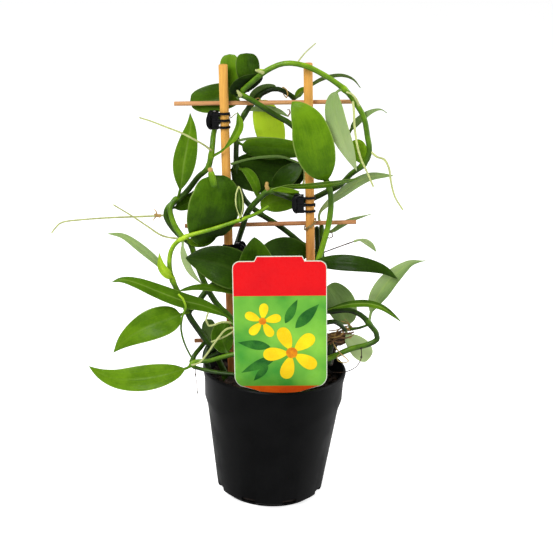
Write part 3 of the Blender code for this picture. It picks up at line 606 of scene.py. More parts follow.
class Rail:
    """A line that a stem, root, leaf or wire follows, measured along its length."""

    def __init__(self, points: Sequence[Vector], step: float) -> None:
        """Smooth the points and measure them."""
        self.points = smooth_line(points, step)
        self.marks = [0.0]
        for start, end in zip(self.points, self.points[1:]):
            self.marks.append(self.marks[-1] + (end - start).length)

    @property
    def length(self) -> float:
        """The rail's whole length."""
        return self.marks[-1]

    def at(self, share: float) -> tuple[Vector, Vector]:
        """Find a point and the direction there.

        Args:
            share: The share of the length where it lies.

        Returns:
            The point and a unit vector along the rail.
        """
        reach = share * self.length
        index = min(max(bisect_right(self.marks, reach) - 1, 0), len(self.points) - 2)
        start, end = self.points[index], self.points[index + 1]
        left = (reach - self.marks[index]) / (self.marks[index + 1] - self.marks[index])
        near = (end - start).normalized()
        before = (start - self.points[max(index - 1, 0)]).normalized() if index else near
        after_end = self.points[min(index + 2, len(self.points) - 1)]
        after = (after_end - end).normalized() if index < len(self.points) - 2 else near
        along = (near + before * (1 - left) * 0.5 + after * left * 0.5).normalized()
        return start.lerp(end, min(max(left, 0), 1)), along


def shade(mesh: bpy.types.Mesh) -> None:
    """Shade a mesh smooth but for its sharp edges."""
    mesh.shade_smooth()
    mesh.set_sharp_from_angle(angle=SHARP_ANGLE)


class Solid:
    """A mesh in the making, shaped by bmesh operators."""

    wire_rail: float = 5 * MM
    cap_rings: Triple = (0.0, 0.12, 0.45)
    longest_cap: float = 0.45
    cut_edge: float = 0.2
    cut_radius: float = 0.9

    def __init__(self) -> None:
        """Start an empty mesh with a UV map, and a tone and a crease for each vertex."""
        self.shape = bmesh.new()
        self.flow = self.shape.loops.layers.uv.new("UVMap")
        self.tone = self.shape.verts.layers.float.new("tone")
        self.crease = self.shape.verts.layers.float.new("crease")

    def fresh(self, old: set[bmesh.types.BMVert]) -> list[bmesh.types.BMVert]:
        """Find the vertices that aren't among the old ones."""
        return [vert for vert in self.shape.verts if vert not in old]

    def skin(self, rings: Sequence[float], sides: int, place: Place, tone: Callable[[int, float], float],
             turned: float = 0, crease: float = 0) -> None:
        """Add a closed skin: a grid bent round into a tube whose first and last rings are points.

        Args:
            rings: The share of the length at each ring, for the UV map.
            sides: How many faces lie round the tube.
            place: Gives the point for a ring's number and a share of the turn.
            tone: Gives the value of the tone attribute for a ring's number and a share of the turn.
            turned: How far the UV map is turned round the tube.
            crease: The value of the crease attribute: how pale the rib of a leaf is.
        """
        count = len(rings) - 1
        grid = bmesh.ops.create_grid(self.shape, x_segments=count, y_segments=sides, size=0.5, calc_uvs=True)
        faces = {face for vert in grid["verts"] for face in vert.link_faces}
        for face in faces:
            for loop in face.loops:
                u, v = loop[self.flow].uv
                loop[self.flow].uv = (rings[round(u * count)], v + turned)
        for vert in grid["verts"]:
            ring, turn = round((vert.co.x + 0.5) * count), (vert.co.y + 0.5) % 1
            vert[self.tone], vert[self.crease] = tone(ring, turn), crease
            vert.co = place(ring, turn)
        bmesh.ops.remove_doubles(self.shape, verts=grid["verts"], dist=MERGE_DISTANCE)

    def tube(self, rail: Rail, radius: Along, sides: int, step: float, tone: Along,
             cut: bool = False) -> None:
        """Add a tube along a rail, its ends rounded.

        Args:
            rail: What it follows.
            radius: Gives the radius for a share of the length and a point.
            sides: How many faces lie round it.
            step: The length between its rings.
            tone: Gives the tone for a share of the length and a point.
            cut: Whether its last end is cut flat.
        """
        count = max(4, round(rail.length / step))
        tip = min(self.longest_cap, radius(1, rail.points[-1]) / rail.length)
        rise = [math.sqrt(1 - (1 - share) ** 2) for share in self.cap_rings]
        shares = [tip * share for share in self.cap_rings]
        shares += [tip + (1 - 2 * tip) * number / count for number in range(count + 1)]
        sizes = rise + [1.0] * (count + 1)
        if cut:
            shares, sizes = shares + [1 - self.cut_edge * tip, 1.0, 1.0], sizes + [1.0, self.cut_radius, 0.0]
        else:
            shares, sizes = shares + [1 - tip * share for share in self.cap_rings[::-1]], sizes + rise[::-1]
        frames, tones = [], []
        side = None
        for share, size in zip(shares, sizes):
            place, along = rail.at(share)
            side = (side - along * side.dot(along)) if side else along.orthogonal()
            side.normalize()
            frames.append((place, side.copy(), along.cross(side), radius(share, place) * size))
            tones.append(tone(share, place))

        def surface(ring: int, turn: float) -> Vector:
            """The point of a ring at a share of the turn."""
            place, first, second, reach = frames[ring]
            angle = turn * math.tau
            return place + (first * math.cos(angle) + second * math.sin(angle)) * reach

        self.skin(shares, sides, surface, lambda ring, turn: tones[ring])

    def wire(self, points: Sequence[Vector], radius: float, sides: int, step: float) -> None:
        """Add a wire of one thickness through the points, with so many sides and rings a step apart."""
        self.tube(Rail(points, self.wire_rail), lambda share, place: radius, sides, step,
                  lambda share, place: 0.5)

    def lathe(self, profile: Sequence[Pair], steps: int, place: Matrix | None = None,
              ) -> list[bmesh.types.BMVert]:
        """Add a turned solid from a profile of radius and height that starts and ends on the axis.

        Args:
            profile: Radius and height of each corner, from the bottom of the axis to its top.
            steps: How many faces lie round the axis.
            place: Moves the solid where it stands.

        Returns:
            The new vertices.
        """
        points = [self.shape.verts.new((radius, 0, height)) for radius, height in profile]
        edges = [self.shape.edges.new(pair) for pair in zip(points, points[1:])]
        old = set(self.shape.verts) - set(points)
        bmesh.ops.spin(self.shape, geom=points + edges, cent=(0, 0, 0), axis=(0, 0, 1), angle=math.tau,
                       steps=steps, use_merge=True)
        bmesh.ops.remove_doubles(self.shape, verts=self.fresh(old), dist=MERGE_DISTANCE)
        made = self.fresh(old)
        if place is not None:
            bmesh.ops.transform(self.shape, matrix=place, verts=made)
        return made

    def draw_up(self, faces: Sequence[bmesh.types.BMFace], depth: float) -> None:
        """Draw faces up along Z into a solid."""
        drawn = bmesh.ops.extrude_face_region(self.shape, geom=faces)
        moved = [item for item in drawn["geom"] if isinstance(item, bmesh.types.BMVert)]
        bmesh.ops.translate(self.shape, verts=moved, vec=(0, 0, depth))

    def bevel(self, edges: Sequence[bmesh.types.BMEdge], width: float, segments: int, clamp: bool) -> None:
        """Bevel edges by a width, clamped where bevels would meet if that is asked for."""
        bmesh.ops.bevel(self.shape, geom=edges, offset=width, offset_type="OFFSET", segments=segments,
                        profile=0.5, affect="EDGES", material=-1, clamp_overlap=clamp)

    def plate(self, outline: Iterable[Sequence[float]], depth: float, place: Matrix, edge: float = 0,
              index: int = 0, segments: int = 2) -> None:
        """Add a flat plate: an outline in the XY plane drawn up along Z, with its edges rounded.

        Args:
            outline: The corners in order.
            depth: The plate's thickness.
            place: Moves the plate where it lies.
            edge: The width of the rounding of its edges.
            index: The material of its faces.
            segments: How many faces each rounding has.
        """
        old = set(self.shape.verts)
        self.draw_up([self.shape.faces.new([self.shape.verts.new((x, y, 0)) for x, y in outline])], depth)
        made = self.fresh(old)
        faces = list({face for vert in made for face in vert.link_faces})
        bmesh.ops.recalc_face_normals(self.shape, faces=faces)
        if edge:
            edges = [line for line in {line for vert in made for line in vert.link_edges}
                     if line.calc_face_angle(0) > SHARP_ANGLE]
            self.bevel(edges, edge, segments, True)
        made = self.fresh(old)
        for face in {face for vert in made for face in vert.link_faces}:
            face.material_index = index
        bmesh.ops.transform(self.shape, matrix=place, verts=made)

    def piece(self, name: str, *finishes: Material) -> Object:
        """Close the mesh and make its object.

        Args:
            name: The piece's name.
            finishes: Its materials in order.

        Returns:
            The new object, at the origin.
        """
        bmesh.ops.recalc_face_normals(self.shape, faces=self.shape.faces)
        mesh = bpy.data.meshes.new(name)
        self.shape.to_mesh(mesh)
        self.shape.free()
        for finish in finishes:
            mesh.materials.append(finish)
        shade(mesh)
        made = bpy.data.objects.new(name, mesh)
        bpy.context.scene.collection.objects.link(made)
        return made


def hand_over(piece: Object, slot: Slot, nodes: Iterable[str] = (), body: Body = Body.PLANT) -> None:
    """Hand a piece over to the frame and report it.

    Args:
        piece: The piece.
        slot: Its material slot; not used.
        nodes: The CAD nodes that it stands for.
        body: What it rides on.
    """
    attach(piece, body.value)
    if nodes:
        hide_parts(*nodes)
    log.info("%s: %d faces on %s", piece.name, len(piece.data.polygons), body.value)


def apply_modifiers(piece: Object) -> None:
    """Replace a piece's mesh with what its modifiers make of it."""
    made = bpy.data.meshes.new_from_object(piece.evaluated_get(bpy.context.evaluated_depsgraph_get()))
    piece.modifiers.clear()
    piece.data = made


def carve(piece: Object, others: Sequence[Object], operation: str) -> None:
    """Join a piece with others or cut it by them.

    Args:
        piece: The piece.
        others: The objects that it is joined with or cut by, which are removed.
        operation: UNION, DIFFERENCE or INTERSECT.
    """
    for other in others:
        step = piece.modifiers.new("carve", "BOOLEAN")
        step.operation = operation
        step.solver = "EXACT"
        step.object = other
    apply_modifiers(piece)
    for other in others:
        bpy.data.objects.remove(other)


@dataclass(frozen=True)
class Leaf:
    """A leaf: the spots of its rib, its greatest width in millimetres, its angles in degrees and its look.

    Belly is the share of the length where it is widest, and power how far its ends are drawn out. Under says
    that its underside shows, and crease how pale its rib is and how strong the painted sheen along it is. Tip
    is the tone at its tip, and shade what its tone gains at one edge and loses at the other. Tone, tip and
    shade are partly the leaf's own colour and partly painted light and shade: a lit edge, a darker lower end
    or side.
    """

    rib: Sequence[Spot]
    width: float
    turn: float = 0
    fold: float = 12
    belly: float = 0.45
    power: float = 1.3
    tone: float = 0.5
    under: bool = False
    crease: float = 0.12
    tip: float | None = None
    shade: float = 0
    twist: float = 0


@dataclass(frozen=True)
class Stem:
    """A stem: its spots, its radius at each end in millimetres, tones along it and its foot in the pot."""

    spots: Sequence[Spot]
    radius: float = 2.5
    tip: float = 2.3
    tones: tuple[float, ...] = (0.5,)
    foot: Pair | None = None


@dataclass(frozen=True)
class Root:
    """An aerial root, bud or sheath: its spots, radius in millimetres, tone, tip, beads and cut end.

    Tip is the share of the radius that is left at its end, and beads are shares of its length.
    """

    spots: Sequence[Spot]
    radius: float = 0.8
    tone: float = 0.8
    tip: float = 0.7
    beads: tuple[float, ...] = ()
    cut: bool = False


@dataclass
class Vine:
    """A leafy stem: its stems, leaves and aerial roots."""

    name: str
    slot: Slot
    stems: Sequence[Stem]
    leaves: Sequence[Leaf]
    roots: Sequence[Root]
    soil_top: float = 98 * MM
    soil_swell: float = 2.5 * MM
    stem_depth: float = 22 * MM
    petiole: float = 1.15 * MM
    petiole_share: float = 0.1
    blade_rail: float = 2 * MM
    blade_rings: int = 40
    blade_sides: int = 28
    blade_rib: float = 0.6 * MM
    blade_edge: float = 0.35 * MM
    blade_lens: float = 0.55
    blade_bulge: float = 0.045
    stalk_rib: float = 0.5 * MM
    stalk_edge: float = 0.3 * MM
    stalk_fade: float = 0.6
    crease_round: float = 0.012
    crease_sink: float = 0.11
    wave: Pair = (0.02, 0.05)
    wave_turn: float = 13
    wave_slant: float = 1.3
    stem_rail: float = 5 * MM
    stem_step: float = 1.6 * MM
    stem_sides: int = 14
    stem_uneven: float = 0.05
    stem_grain: float = 90
    joint_swell: float = 0.26
    joint_reach: float = 2.8 * MM
    joint_glow: float = 0.2
    root_rail: float = 4 * MM
    root_step: float = 1.6 * MM
    root_sides: int = 8
    root_uneven: float = 0.14
    root_grain: float = 260
    bead_step: float = 0.5 * MM
    bead_size: float = 1.6
    bead_reach: float = 0.9 * MM

    def joints(self) -> list[Vector]:
        """Find where leaves leave the stems."""
        return [VIEW.spot(*leaf.rib[0]) for leaf in self.leaves]

    def nearness(self, place: Vector, joints: Sequence[Vector]) -> float:
        """How near a point is to a joint, from 0 to 1."""
        return max((hump((place - joint).length, self.joint_reach) for joint in joints), default=0)

    def half_width(self, share: float, leaf: Leaf) -> float:
        """Half of a leaf's width at a share of its length."""
        if share <= self.petiole_share:
            return self.petiole
        along = (share - self.petiole_share) / (1 - self.petiole_share)
        rise = leaf.power * leaf.belly
        fall = leaf.power - rise
        peak = leaf.belly ** rise * (1 - leaf.belly) ** fall
        blade = leaf.width * MM / 2 * along ** rise * (1 - along) ** fall / peak
        return max(blade, self.petiole * (1 - along), self.blade_edge)

    def add_leaf(self, solid: Solid, leaf: Leaf, draw: random.Random) -> None:
        """Add a leaf: a lens-shaped blade along its rib, folded and gently waved.

        Args:
            solid: The mesh that it goes into.
            leaf: The leaf.
            draw: Gives its small irregularities.
        """
        rail = Rail([VIEW.spot(*place) for place in leaf.rib], self.blade_rail)
        shares = [0.0] + [number / self.blade_rings for number in range(self.blade_rings)] + [1.0]
        eye = Vector(VIEW.eye)
        fold = math.radians(leaf.fold)
        wave, phase = draw.uniform(*self.wave), draw.uniform(0, math.tau)
        frames = []
        for share in shares:
            place, along = rail.at(share)
            side = along.cross(place - eye).normalized()
            face = along.cross(side).normalized()
            if face.dot(place - eye) > 0:
                face = -face
            turn = math.radians(leaf.turn + leaf.twist * share)
            out = side * math.cos(turn) + face * math.sin(turn)
            top = face * math.cos(turn) - side * math.sin(turn)
            stalk = max(0.0, 1 - share / self.petiole_share * self.stalk_fade)
            rib, edge = self.blade_rib + stalk * self.stalk_rib, self.blade_edge + stalk * self.stalk_edge
            frames.append((place, out, top, self.half_width(share, leaf), rib, edge))

        def surface(ring: int, turn: float) -> Vector:
            """The point of a ring's lens section at a share of the turn."""
            place, out, top, half, rib, edge = frames[ring]
            if ring in (0, len(frames) - 1):
                return place
            angle = turn * math.tau
            across = math.copysign(abs(math.cos(angle)) ** LENS_POWER, math.cos(angle))
            thick = rib * (1 - abs(across)) + edge * abs(across)
            lift = math.copysign(abs(math.sin(angle)) ** self.blade_lens, math.sin(angle)) * thick
            share = shares[ring]
            fade = math.sin(math.pi * share)
            bend = (math.sqrt(across * across + self.crease_round) - self.crease_sink) * math.sin(fold)
            bend += fade * self.blade_bulge * math.sin(math.pi * abs(across))
            ripple = math.sin(phase + share * self.wave_turn + across * self.wave_slant)
            bend += fade * wave * across ** 2 * ripple
            return place + out * half * math.cos(fold) * across + top * (half * bend + lift)

        last = leaf.tone if leaf.tip is None else leaf.tip

        def tone(ring: int, turn: float) -> float:
            """The tone: it runs from foot to tip, and from edge to edge."""
            plain = leaf.tone + (last - leaf.tone) * shares[ring]
            return min(max(plain + leaf.shade * math.cos(turn * math.tau), 0.0), 1.0)

        solid.skin(shares, self.blade_sides, surface, tone, 0.5 if leaf.under else 0, leaf.crease)

    def add_stem(self, solid: Solid, stem: Stem, joints: Sequence[Vector]) -> None:
        """Add a stem that swells a little and turns paler at its joints.

        Args:
            solid: The mesh that it goes into.
            stem: The stem.
            joints: Where leaves leave the vine's stems.
        """
        points = [VIEW.spot(*place) for place in stem.spots]
        if stem.foot:
            x, y = stem.foot
            rises = (-self.stem_depth, -self.stem_depth / 2, self.soil_swell, 3 * self.soil_swell)
            points = [Vector((x * MM, y * MM, self.soil_top + rise)) for rise in rises] + points

        def radius(share: float, place: Vector) -> float:
            """The stem's radius with its swellings and a slight unevenness."""
            swell = self.joint_swell * self.nearness(place, joints)
            plain = stem.radius + (stem.tip - stem.radius) * share
            return plain * MM * (1 + swell + self.stem_uneven * noise.noise(place * self.stem_grain))

        def tone(share: float, place: Vector) -> float:
            """The stem's tone between its stops, paler at a joint."""
            reach = share * (len(stem.tones) - 1)
            stop = min(int(reach), max(len(stem.tones) - 2, 0))
            after = stem.tones[min(stop + 1, len(stem.tones) - 1)]
            plain = stem.tones[stop] + (after - stem.tones[stop]) * (reach - stop)
            return plain + self.joint_glow * self.nearness(place, joints)

        solid.tube(Rail(points, self.stem_rail), radius, self.stem_sides, self.stem_step, tone)

    def add_root(self, solid: Solid, root: Root) -> None:
        """Add an aerial root, thinner at its tip, slightly uneven and beaded.

        Args:
            solid: The mesh that it goes into.
            root: The root.
        """
        rail = Rail([VIEW.spot(*place) for place in root.spots], self.root_rail)

        def bead(share: float) -> float:
            """How much of a bead is at a share of the length."""
            swells = (hump((share - spot) * rail.length, self.bead_reach) for spot in root.beads)
            return max(swells, default=0)

        def radius(share: float, place: Vector) -> float:
            """The root's radius."""
            uneven = 1 + self.root_uneven * noise.noise(place * self.root_grain)
            plain = root.radius * MM * (1 - (1 - root.tip) * share) * uneven
            return plain * (1 + self.bead_size * bead(share))

        step = self.bead_step if root.beads else self.root_step
        solid.tube(rail, radius, self.root_sides, step, lambda share, place: root.tone * (1 - bead(share)),
                   root.cut)

    def build(self) -> None:
        """Build the vine's stems, leaves and roots as three pieces that stand for its node."""
        draw = random.Random(self.name)
        joints = self.joints()
        stems, leaves, roots = Solid(), Solid(), Solid()
        for stem in self.stems:
            self.add_stem(stems, stem, joints)
        for leaf in self.leaves:
            self.add_leaf(leaves, leaf, draw)
        for root in self.roots:
            self.add_root(roots, root)
        hand_over(stems.piece(f"{self.name}_stems", STEM_FINISH[self.slot]), self.slot, [self.name])
        hand_over(leaves.piece(f"{self.name}_leaves", LEAF_FINISH[self.slot]), self.slot, [self.name])
        hand_over(roots.piece(f"{self.name}_roots", ROOT_FINISH), self.slot, [self.name])


LEAF_FINISH = {
    Slot.YOUNG: LeafFinish("young_leaf").material(),
    Slot.DARK: LeafFinish("shaded_leaf", roughness=0.3).material(),
}
STEM_FINISH = {
    Slot.YOUNG: StemFinish("young_stem").material(),
    Slot.DARK: StemFinish("shaded_stem", roughness=0.34).material(),
}
ROOT_FINISH = RootFinish("aerial_root").material()

VINE_MAIN = Vine("vine_main", Slot.YOUNG, stems=[
    Stem([(238, 332, -12), (231, 318, -11), (217, 304, -9), (205, 284, -7), (196, 261, -5), (190, 243, -3),
        (178, 234, -2), (166, 217, 0), (170, 206, 1), (185, 193.5, 2), (199, 176, 3), (208, 168, 3),
        (212, 150, 5), (213, 138, 9), (215, 128, 15.5), (219, 120, 18), (224, 113, 18.5)], 2.6, 2.2, (0.15,
        0.18, 0.2, 0.3, 0.5, 0.22, 0.25, 0.55, 0.4), (-20, -13)),
    Stem([(213, 350, -10), (200, 332, -10), (188, 313, -10), (195, 306, -7), (207, 290, 0), (219, 279, 8),
        (229, 262, 17), (236, 247, 19), (239, 238, 13), (243, 226, 4), (249, 210, -1), (268, 191, -2),
        (277, 193, 5), (287, 196.5, 15.6), (302, 201, 16.2), (314, 198, 15.5), (326, 192, 12), (340, 185, 8),
        (351, 174, 4), (364, 164, 0), (369.5, 152, -2), (367.5, 137, -2), (364, 118, -1), (355, 102, 2),
        (344, 89, 2), (325, 75.5, 0), (304, 65.5, -3), (284, 63.5, -2), (266, 71, 0), (251, 83, 2),
        (241, 92, 3)], 2.6, 2.1, (0.02, 0.25, 0.15, 0.2, 0.2, 0.3, 0.3, 0.28, 0.25, 0.34, 0.5, 0.55, 0.66,
        0.6, 0.42), (-41, -8)),
    Stem([(238, 93, 4), (247, 97.5, 3), (258, 104, 3), (275, 115, 3), (292, 125, 1), (305, 142, -2),
        (318, 166, -2), (328, 184, 0), (331, 201, 1), (329, 222, 1), (323, 245, -2), (317, 264, -6),
        (312, 278, -9)], 2.2, 2.4, (0.5, 0.25, 0.22, 0.25, 0.25, 0.36, 0.62, 0.68, 0.62)),
    Stem([(188, 313, -10), (181, 298, -12), (170.5, 274, -12), (171, 251, -12), (183, 238, -12.5),
        (211, 229.5, -14), (237, 221, -13), (258, 213, -7), (269, 206, -4)], 2.3, 1.3, (0.4, 0.5, 0.8, 0.82,
        0.72, 0.66, 0.6)),
    Stem([(178, 197, 1), (170, 207, -3), (174, 224, -8), (183, 238, -12)], 2.2, 2.2, (0.35, 0.55, 0.6)),
    Stem([(266, 71, 0), (261, 70.5, 2), (257, 70.5, 4)], 1.3, 1.3, (0.9,)),
    Stem([(214, 188, -4), (212.5, 179, -4), (210.5, 170.5, -4.5)], 4.2, 2.3, (0.4, 0.62, 0.7)),
    Stem([(178, 294, -27), (183, 299, -28), (186, 307, -28), (182.5, 316, -26), (181, 329, -23),
        (184, 342, -21), (189, 353, -20), (193, 360, -22)], 0.95, 0.75, (0.85, 0.75, 0.5, 0.4, 0.36)),
], leaves=[
    Leaf([(248, 92, 7), (248, 84, 8), (247.5, 69, 10), (246.5, 53, 15)], 19.5, 10, 8, 0.62, 0.95, 0.16,
        crease=0, tip=0.34, shade=0.05),
    Leaf([(240, 98, 9), (235, 84, 12), (230.5, 69, 14), (229.5, 54, 17)], 17, -14, 8, 0.62, 0.95, 0.4,
        crease=0, tip=0.62),
    Leaf([(237, 96, 5), (233.5, 92, 4), (239, 87, 4), (249, 82, 5), (263, 76.5, 6)], 13.5, 14, 8, 0.42, 1.05,
        0.06, crease=0, tip=0.02, shade=0.06),
    Leaf([(241, 92, 5), (237, 90.5, 15), (229, 95, 18.5), (209, 99.5, 18.5), (190, 101.5, 18)], 23, 8, 6,
        0.54, 0.85, 0.34, crease=0, tip=0.44, shade=0.08),
    Leaf([(328, 188, -1), (326.6, 180, -4), (322, 169, -8), (316.8, 156, -11), (312.5, 141, -12),
        (307.5, 124, -12), (300, 111.5, -10), (292, 101.5, -6)], 32.5, 6, 8, 0.46, 1.45, 0.42, crease=0,
        tip=0.68, shade=-0.05),
    Leaf([(344, 89, 2), (337, 92, -2), (334, 101, -4), (336, 117, -6), (341, 133, -6), (348, 150, -5),
        (357, 171.5, -3)], 17.5, 22, 12, 0.36, 1.5, 0.52, True, tip=1.0),
    Leaf([(349, 134, 5), (353, 127, 4), (362, 118, 3), (372, 111.5, 3), (381, 109.5, 4), (387.5, 113.5, 6)],
        7, -30, 12, 0.26, 2.3, 0.3, True, tip=0.7),
    Leaf([(364, 166, 0), (362, 160, 3), (358, 150, 6), (354, 140, 8)], 15, 18, 12, 0.55, 0.9, 0.7, tip=0.8),
    Leaf([(270, 190, -1), (279, 183, 6), (290, 174, 11), (302, 164, 13)], 17, -20, 8, 0.5, 1.3, 0.2, crease=0,
        shade=-0.06),
    Leaf([(269, 191, -1), (279, 189, -3), (289, 190, -4), (300, 192, -3)], 7, 50, tone=0.66),
    Leaf([(270, 190, -2), (285, 186.5, -5), (310, 185, -6), (335, 182.5, -5), (360, 178, -2)], 12, 66, 10,
        tone=0.48, crease=0.7),
    Leaf([(183, 239, -12), (183, 249, -12), (186, 261, -12.5), (192, 273, -13), (203, 285.5, -13)], 7, 30, 12,
        0.38, 2.0, 0.8, True, tip=0.95),
    Leaf([(178, 198, 0), (181, 185, -4), (184, 162, -9), (188, 141, -9), (190.5, 126, -7), (190, 112, -4)],
        19, 8, 14, 0.45, 2.25, 0.44, crease=0.3, tip=0.56),
    Leaf([(211, 168, 2), (213.5, 180, -4), (215.5, 196, -9), (212.5, 212, -10), (207.5, 226, -9),
        (205.5, 236, -8), (207, 244, -6)], 41, -6, 5, 0.44, 0.95, 0.44, crease=0, tip=0.14, shade=-0.11),
    Leaf([(185, 237.5, -12), (194, 242, -6), (205, 242, -1), (216, 238, 0)], 8, 14, tone=0.55),
    Leaf([(241, 220, -13), (239.5, 206, -13), (238, 188, -11)], 8, 25, tone=0.28, crease=0.4),
    Leaf([(170, 208, 1), (180, 206, 5), (196, 197, 8), (213, 182, 6)], 13, 20, tone=0.32),
    Leaf([(213, 156, 3), (222, 150.5, -1), (230, 142.5, -4), (236.5, 133, -5), (239.5, 124, -4),
        (237.5, 112, -1)], 7.4, 20, 14, 0.66, 3.1, 0.6, crease=0.3, shade=-0.1),
    Leaf([(173, 280, -12), (160, 265, -16), (136, 245, -18), (122, 236, -18), (107, 233.5, -18)], 8, 25, 14,
        0.45, 1.6, 0.66, True, crease=0.5),
    Leaf([(174, 278, -13), (167, 274, -17), (161, 266, -18), (159, 252, -19)], 8.5, 10, 22, 0.3, 1.7, 0.86,
        crease=0.3),
    Leaf([(189, 312, -12), (181, 314.5, -15), (168, 319.5, -18), (151, 325.5, -21), (135, 333.5, -22),
        (123, 342, -21), (113, 353, -18)], 26, 12, 10, 0.3, 1.6, 0.56, crease=0.08, tip=0.54),
    Leaf([(305, 262, -7), (318, 262.5, -11), (335, 262.5, -17), (352, 263.5, -21), (370, 266, -23),
        (385, 270.5, -24), (397.5, 279, -24)], 13.6, -15, 8, 0.4, 1.45, 0.2, crease=0, shade=0.06),
    Leaf([(354, 241.5, -5), (359, 239.8, -5), (365, 241, -5), (371, 245, -5), (376.5, 252, -5)], 5.5, 40, 8,
        0.5, 2.3, 0.95, True, tip=0.7, twist=-20),
], roots=[
    Root([(353, 101, 0), (354, 112, -4), (354.5, 126, -6), (357, 144, -8), (361, 159, -8), (367, 172, -7),
        (373.5, 187, -6)], 1.0, 0.95),
    Root([(369, 150, -2), (377, 157, -5), (384, 159, -7), (389, 168, -8), (391, 182, -8), (395, 197, -8),
        (403, 210, -8)], 1.0, 0.9),
    Root([(167, 215, 0), (154, 216, -1), (127, 217, -3), (104, 218, -4), (78, 220, -5), (63, 222, -6),
        (57, 226, -6), (51.5, 233, -6)], 0.9, 0.82),
    Root([(182, 239, -12), (163, 236, -14), (147, 226, -15), (132, 216, -15), (113, 204.5, -15)], 0.85, 0.82),
    Root([(212, 151, 4), (204, 145, -7), (196, 140.5, -15), (181.5, 133, -17), (166, 127, -15),
        (150.5, 121, -13), (139, 117.5, -13)], 0.9, 0.9),
    Root([(297, 63, -3), (305, 53, -3), (316, 43, -3)], 0.6, 0.85),
    Root([(210.6, 172, -4), (210.2, 168.4, -5)], 2.1, 0.5, 0.9, cut=True),
    Root([(161, 216, -0.5), (157.5, 215.5, -1), (154, 214, -1)], 1.7, 0.48, 0.4),
    Root([(157, 216, -1), (154, 218.5, -2), (153, 221, -2)], 0.7, 0.48, 0.3),
    Root([(157, 215, -1), (156, 211, -1), (153.5, 208, -1)], 0.7, 0.5, 0.3),
    Root([(322, 253, -3), (341, 246, -4), (356, 240.7, -5)], 0.5, 0.12, 1.0),
    Root([(228, 118.5, 12), (231.5, 117.5, 10), (234, 115, 6), (238, 112.5, 0)], 0.35, 0.85, 1.0),
    Root([(239, 186, -11), (236, 194, -14), (236, 206, -15), (240, 218, -14)], 0.6, 0.95, 1.0),
    Root([(239, 186, -11), (242.3, 196, -12), (243, 208, -13), (240.5, 218, -14)], 0.5, 0.95, 1.0),
    Root([(329, 231, 0), (326.5, 235, 1), (328.5, 238.5, 1), (332.5, 237, 0), (332, 232.5, -1),
        (329, 231, 0)], 0.42, 0.2, 1.0),
    Root([(268, 190, -3), (266.5, 186, -5), (267, 182.5, -6)], 1.7, 0.5, 0.8, cut=True),
    Root([(359, 106, 0), (356, 99, -3), (351, 93.5, -4), (346, 92, -4)], 1.2, 0.92, 0.6),
    Root([(264, 73, -1), (260, 71.5, -3), (255, 70, -4)], 1.7, 0.95, 0.5),
    Root([(241, 96.5, 1), (239, 93, 0), (237, 90, 0)], 1.9, 0.86, 0.45),
    Root([(303, 186, 14), (304.5, 176, 14), (303, 165, 14)], 1.0, 0.9, 0.5),
])
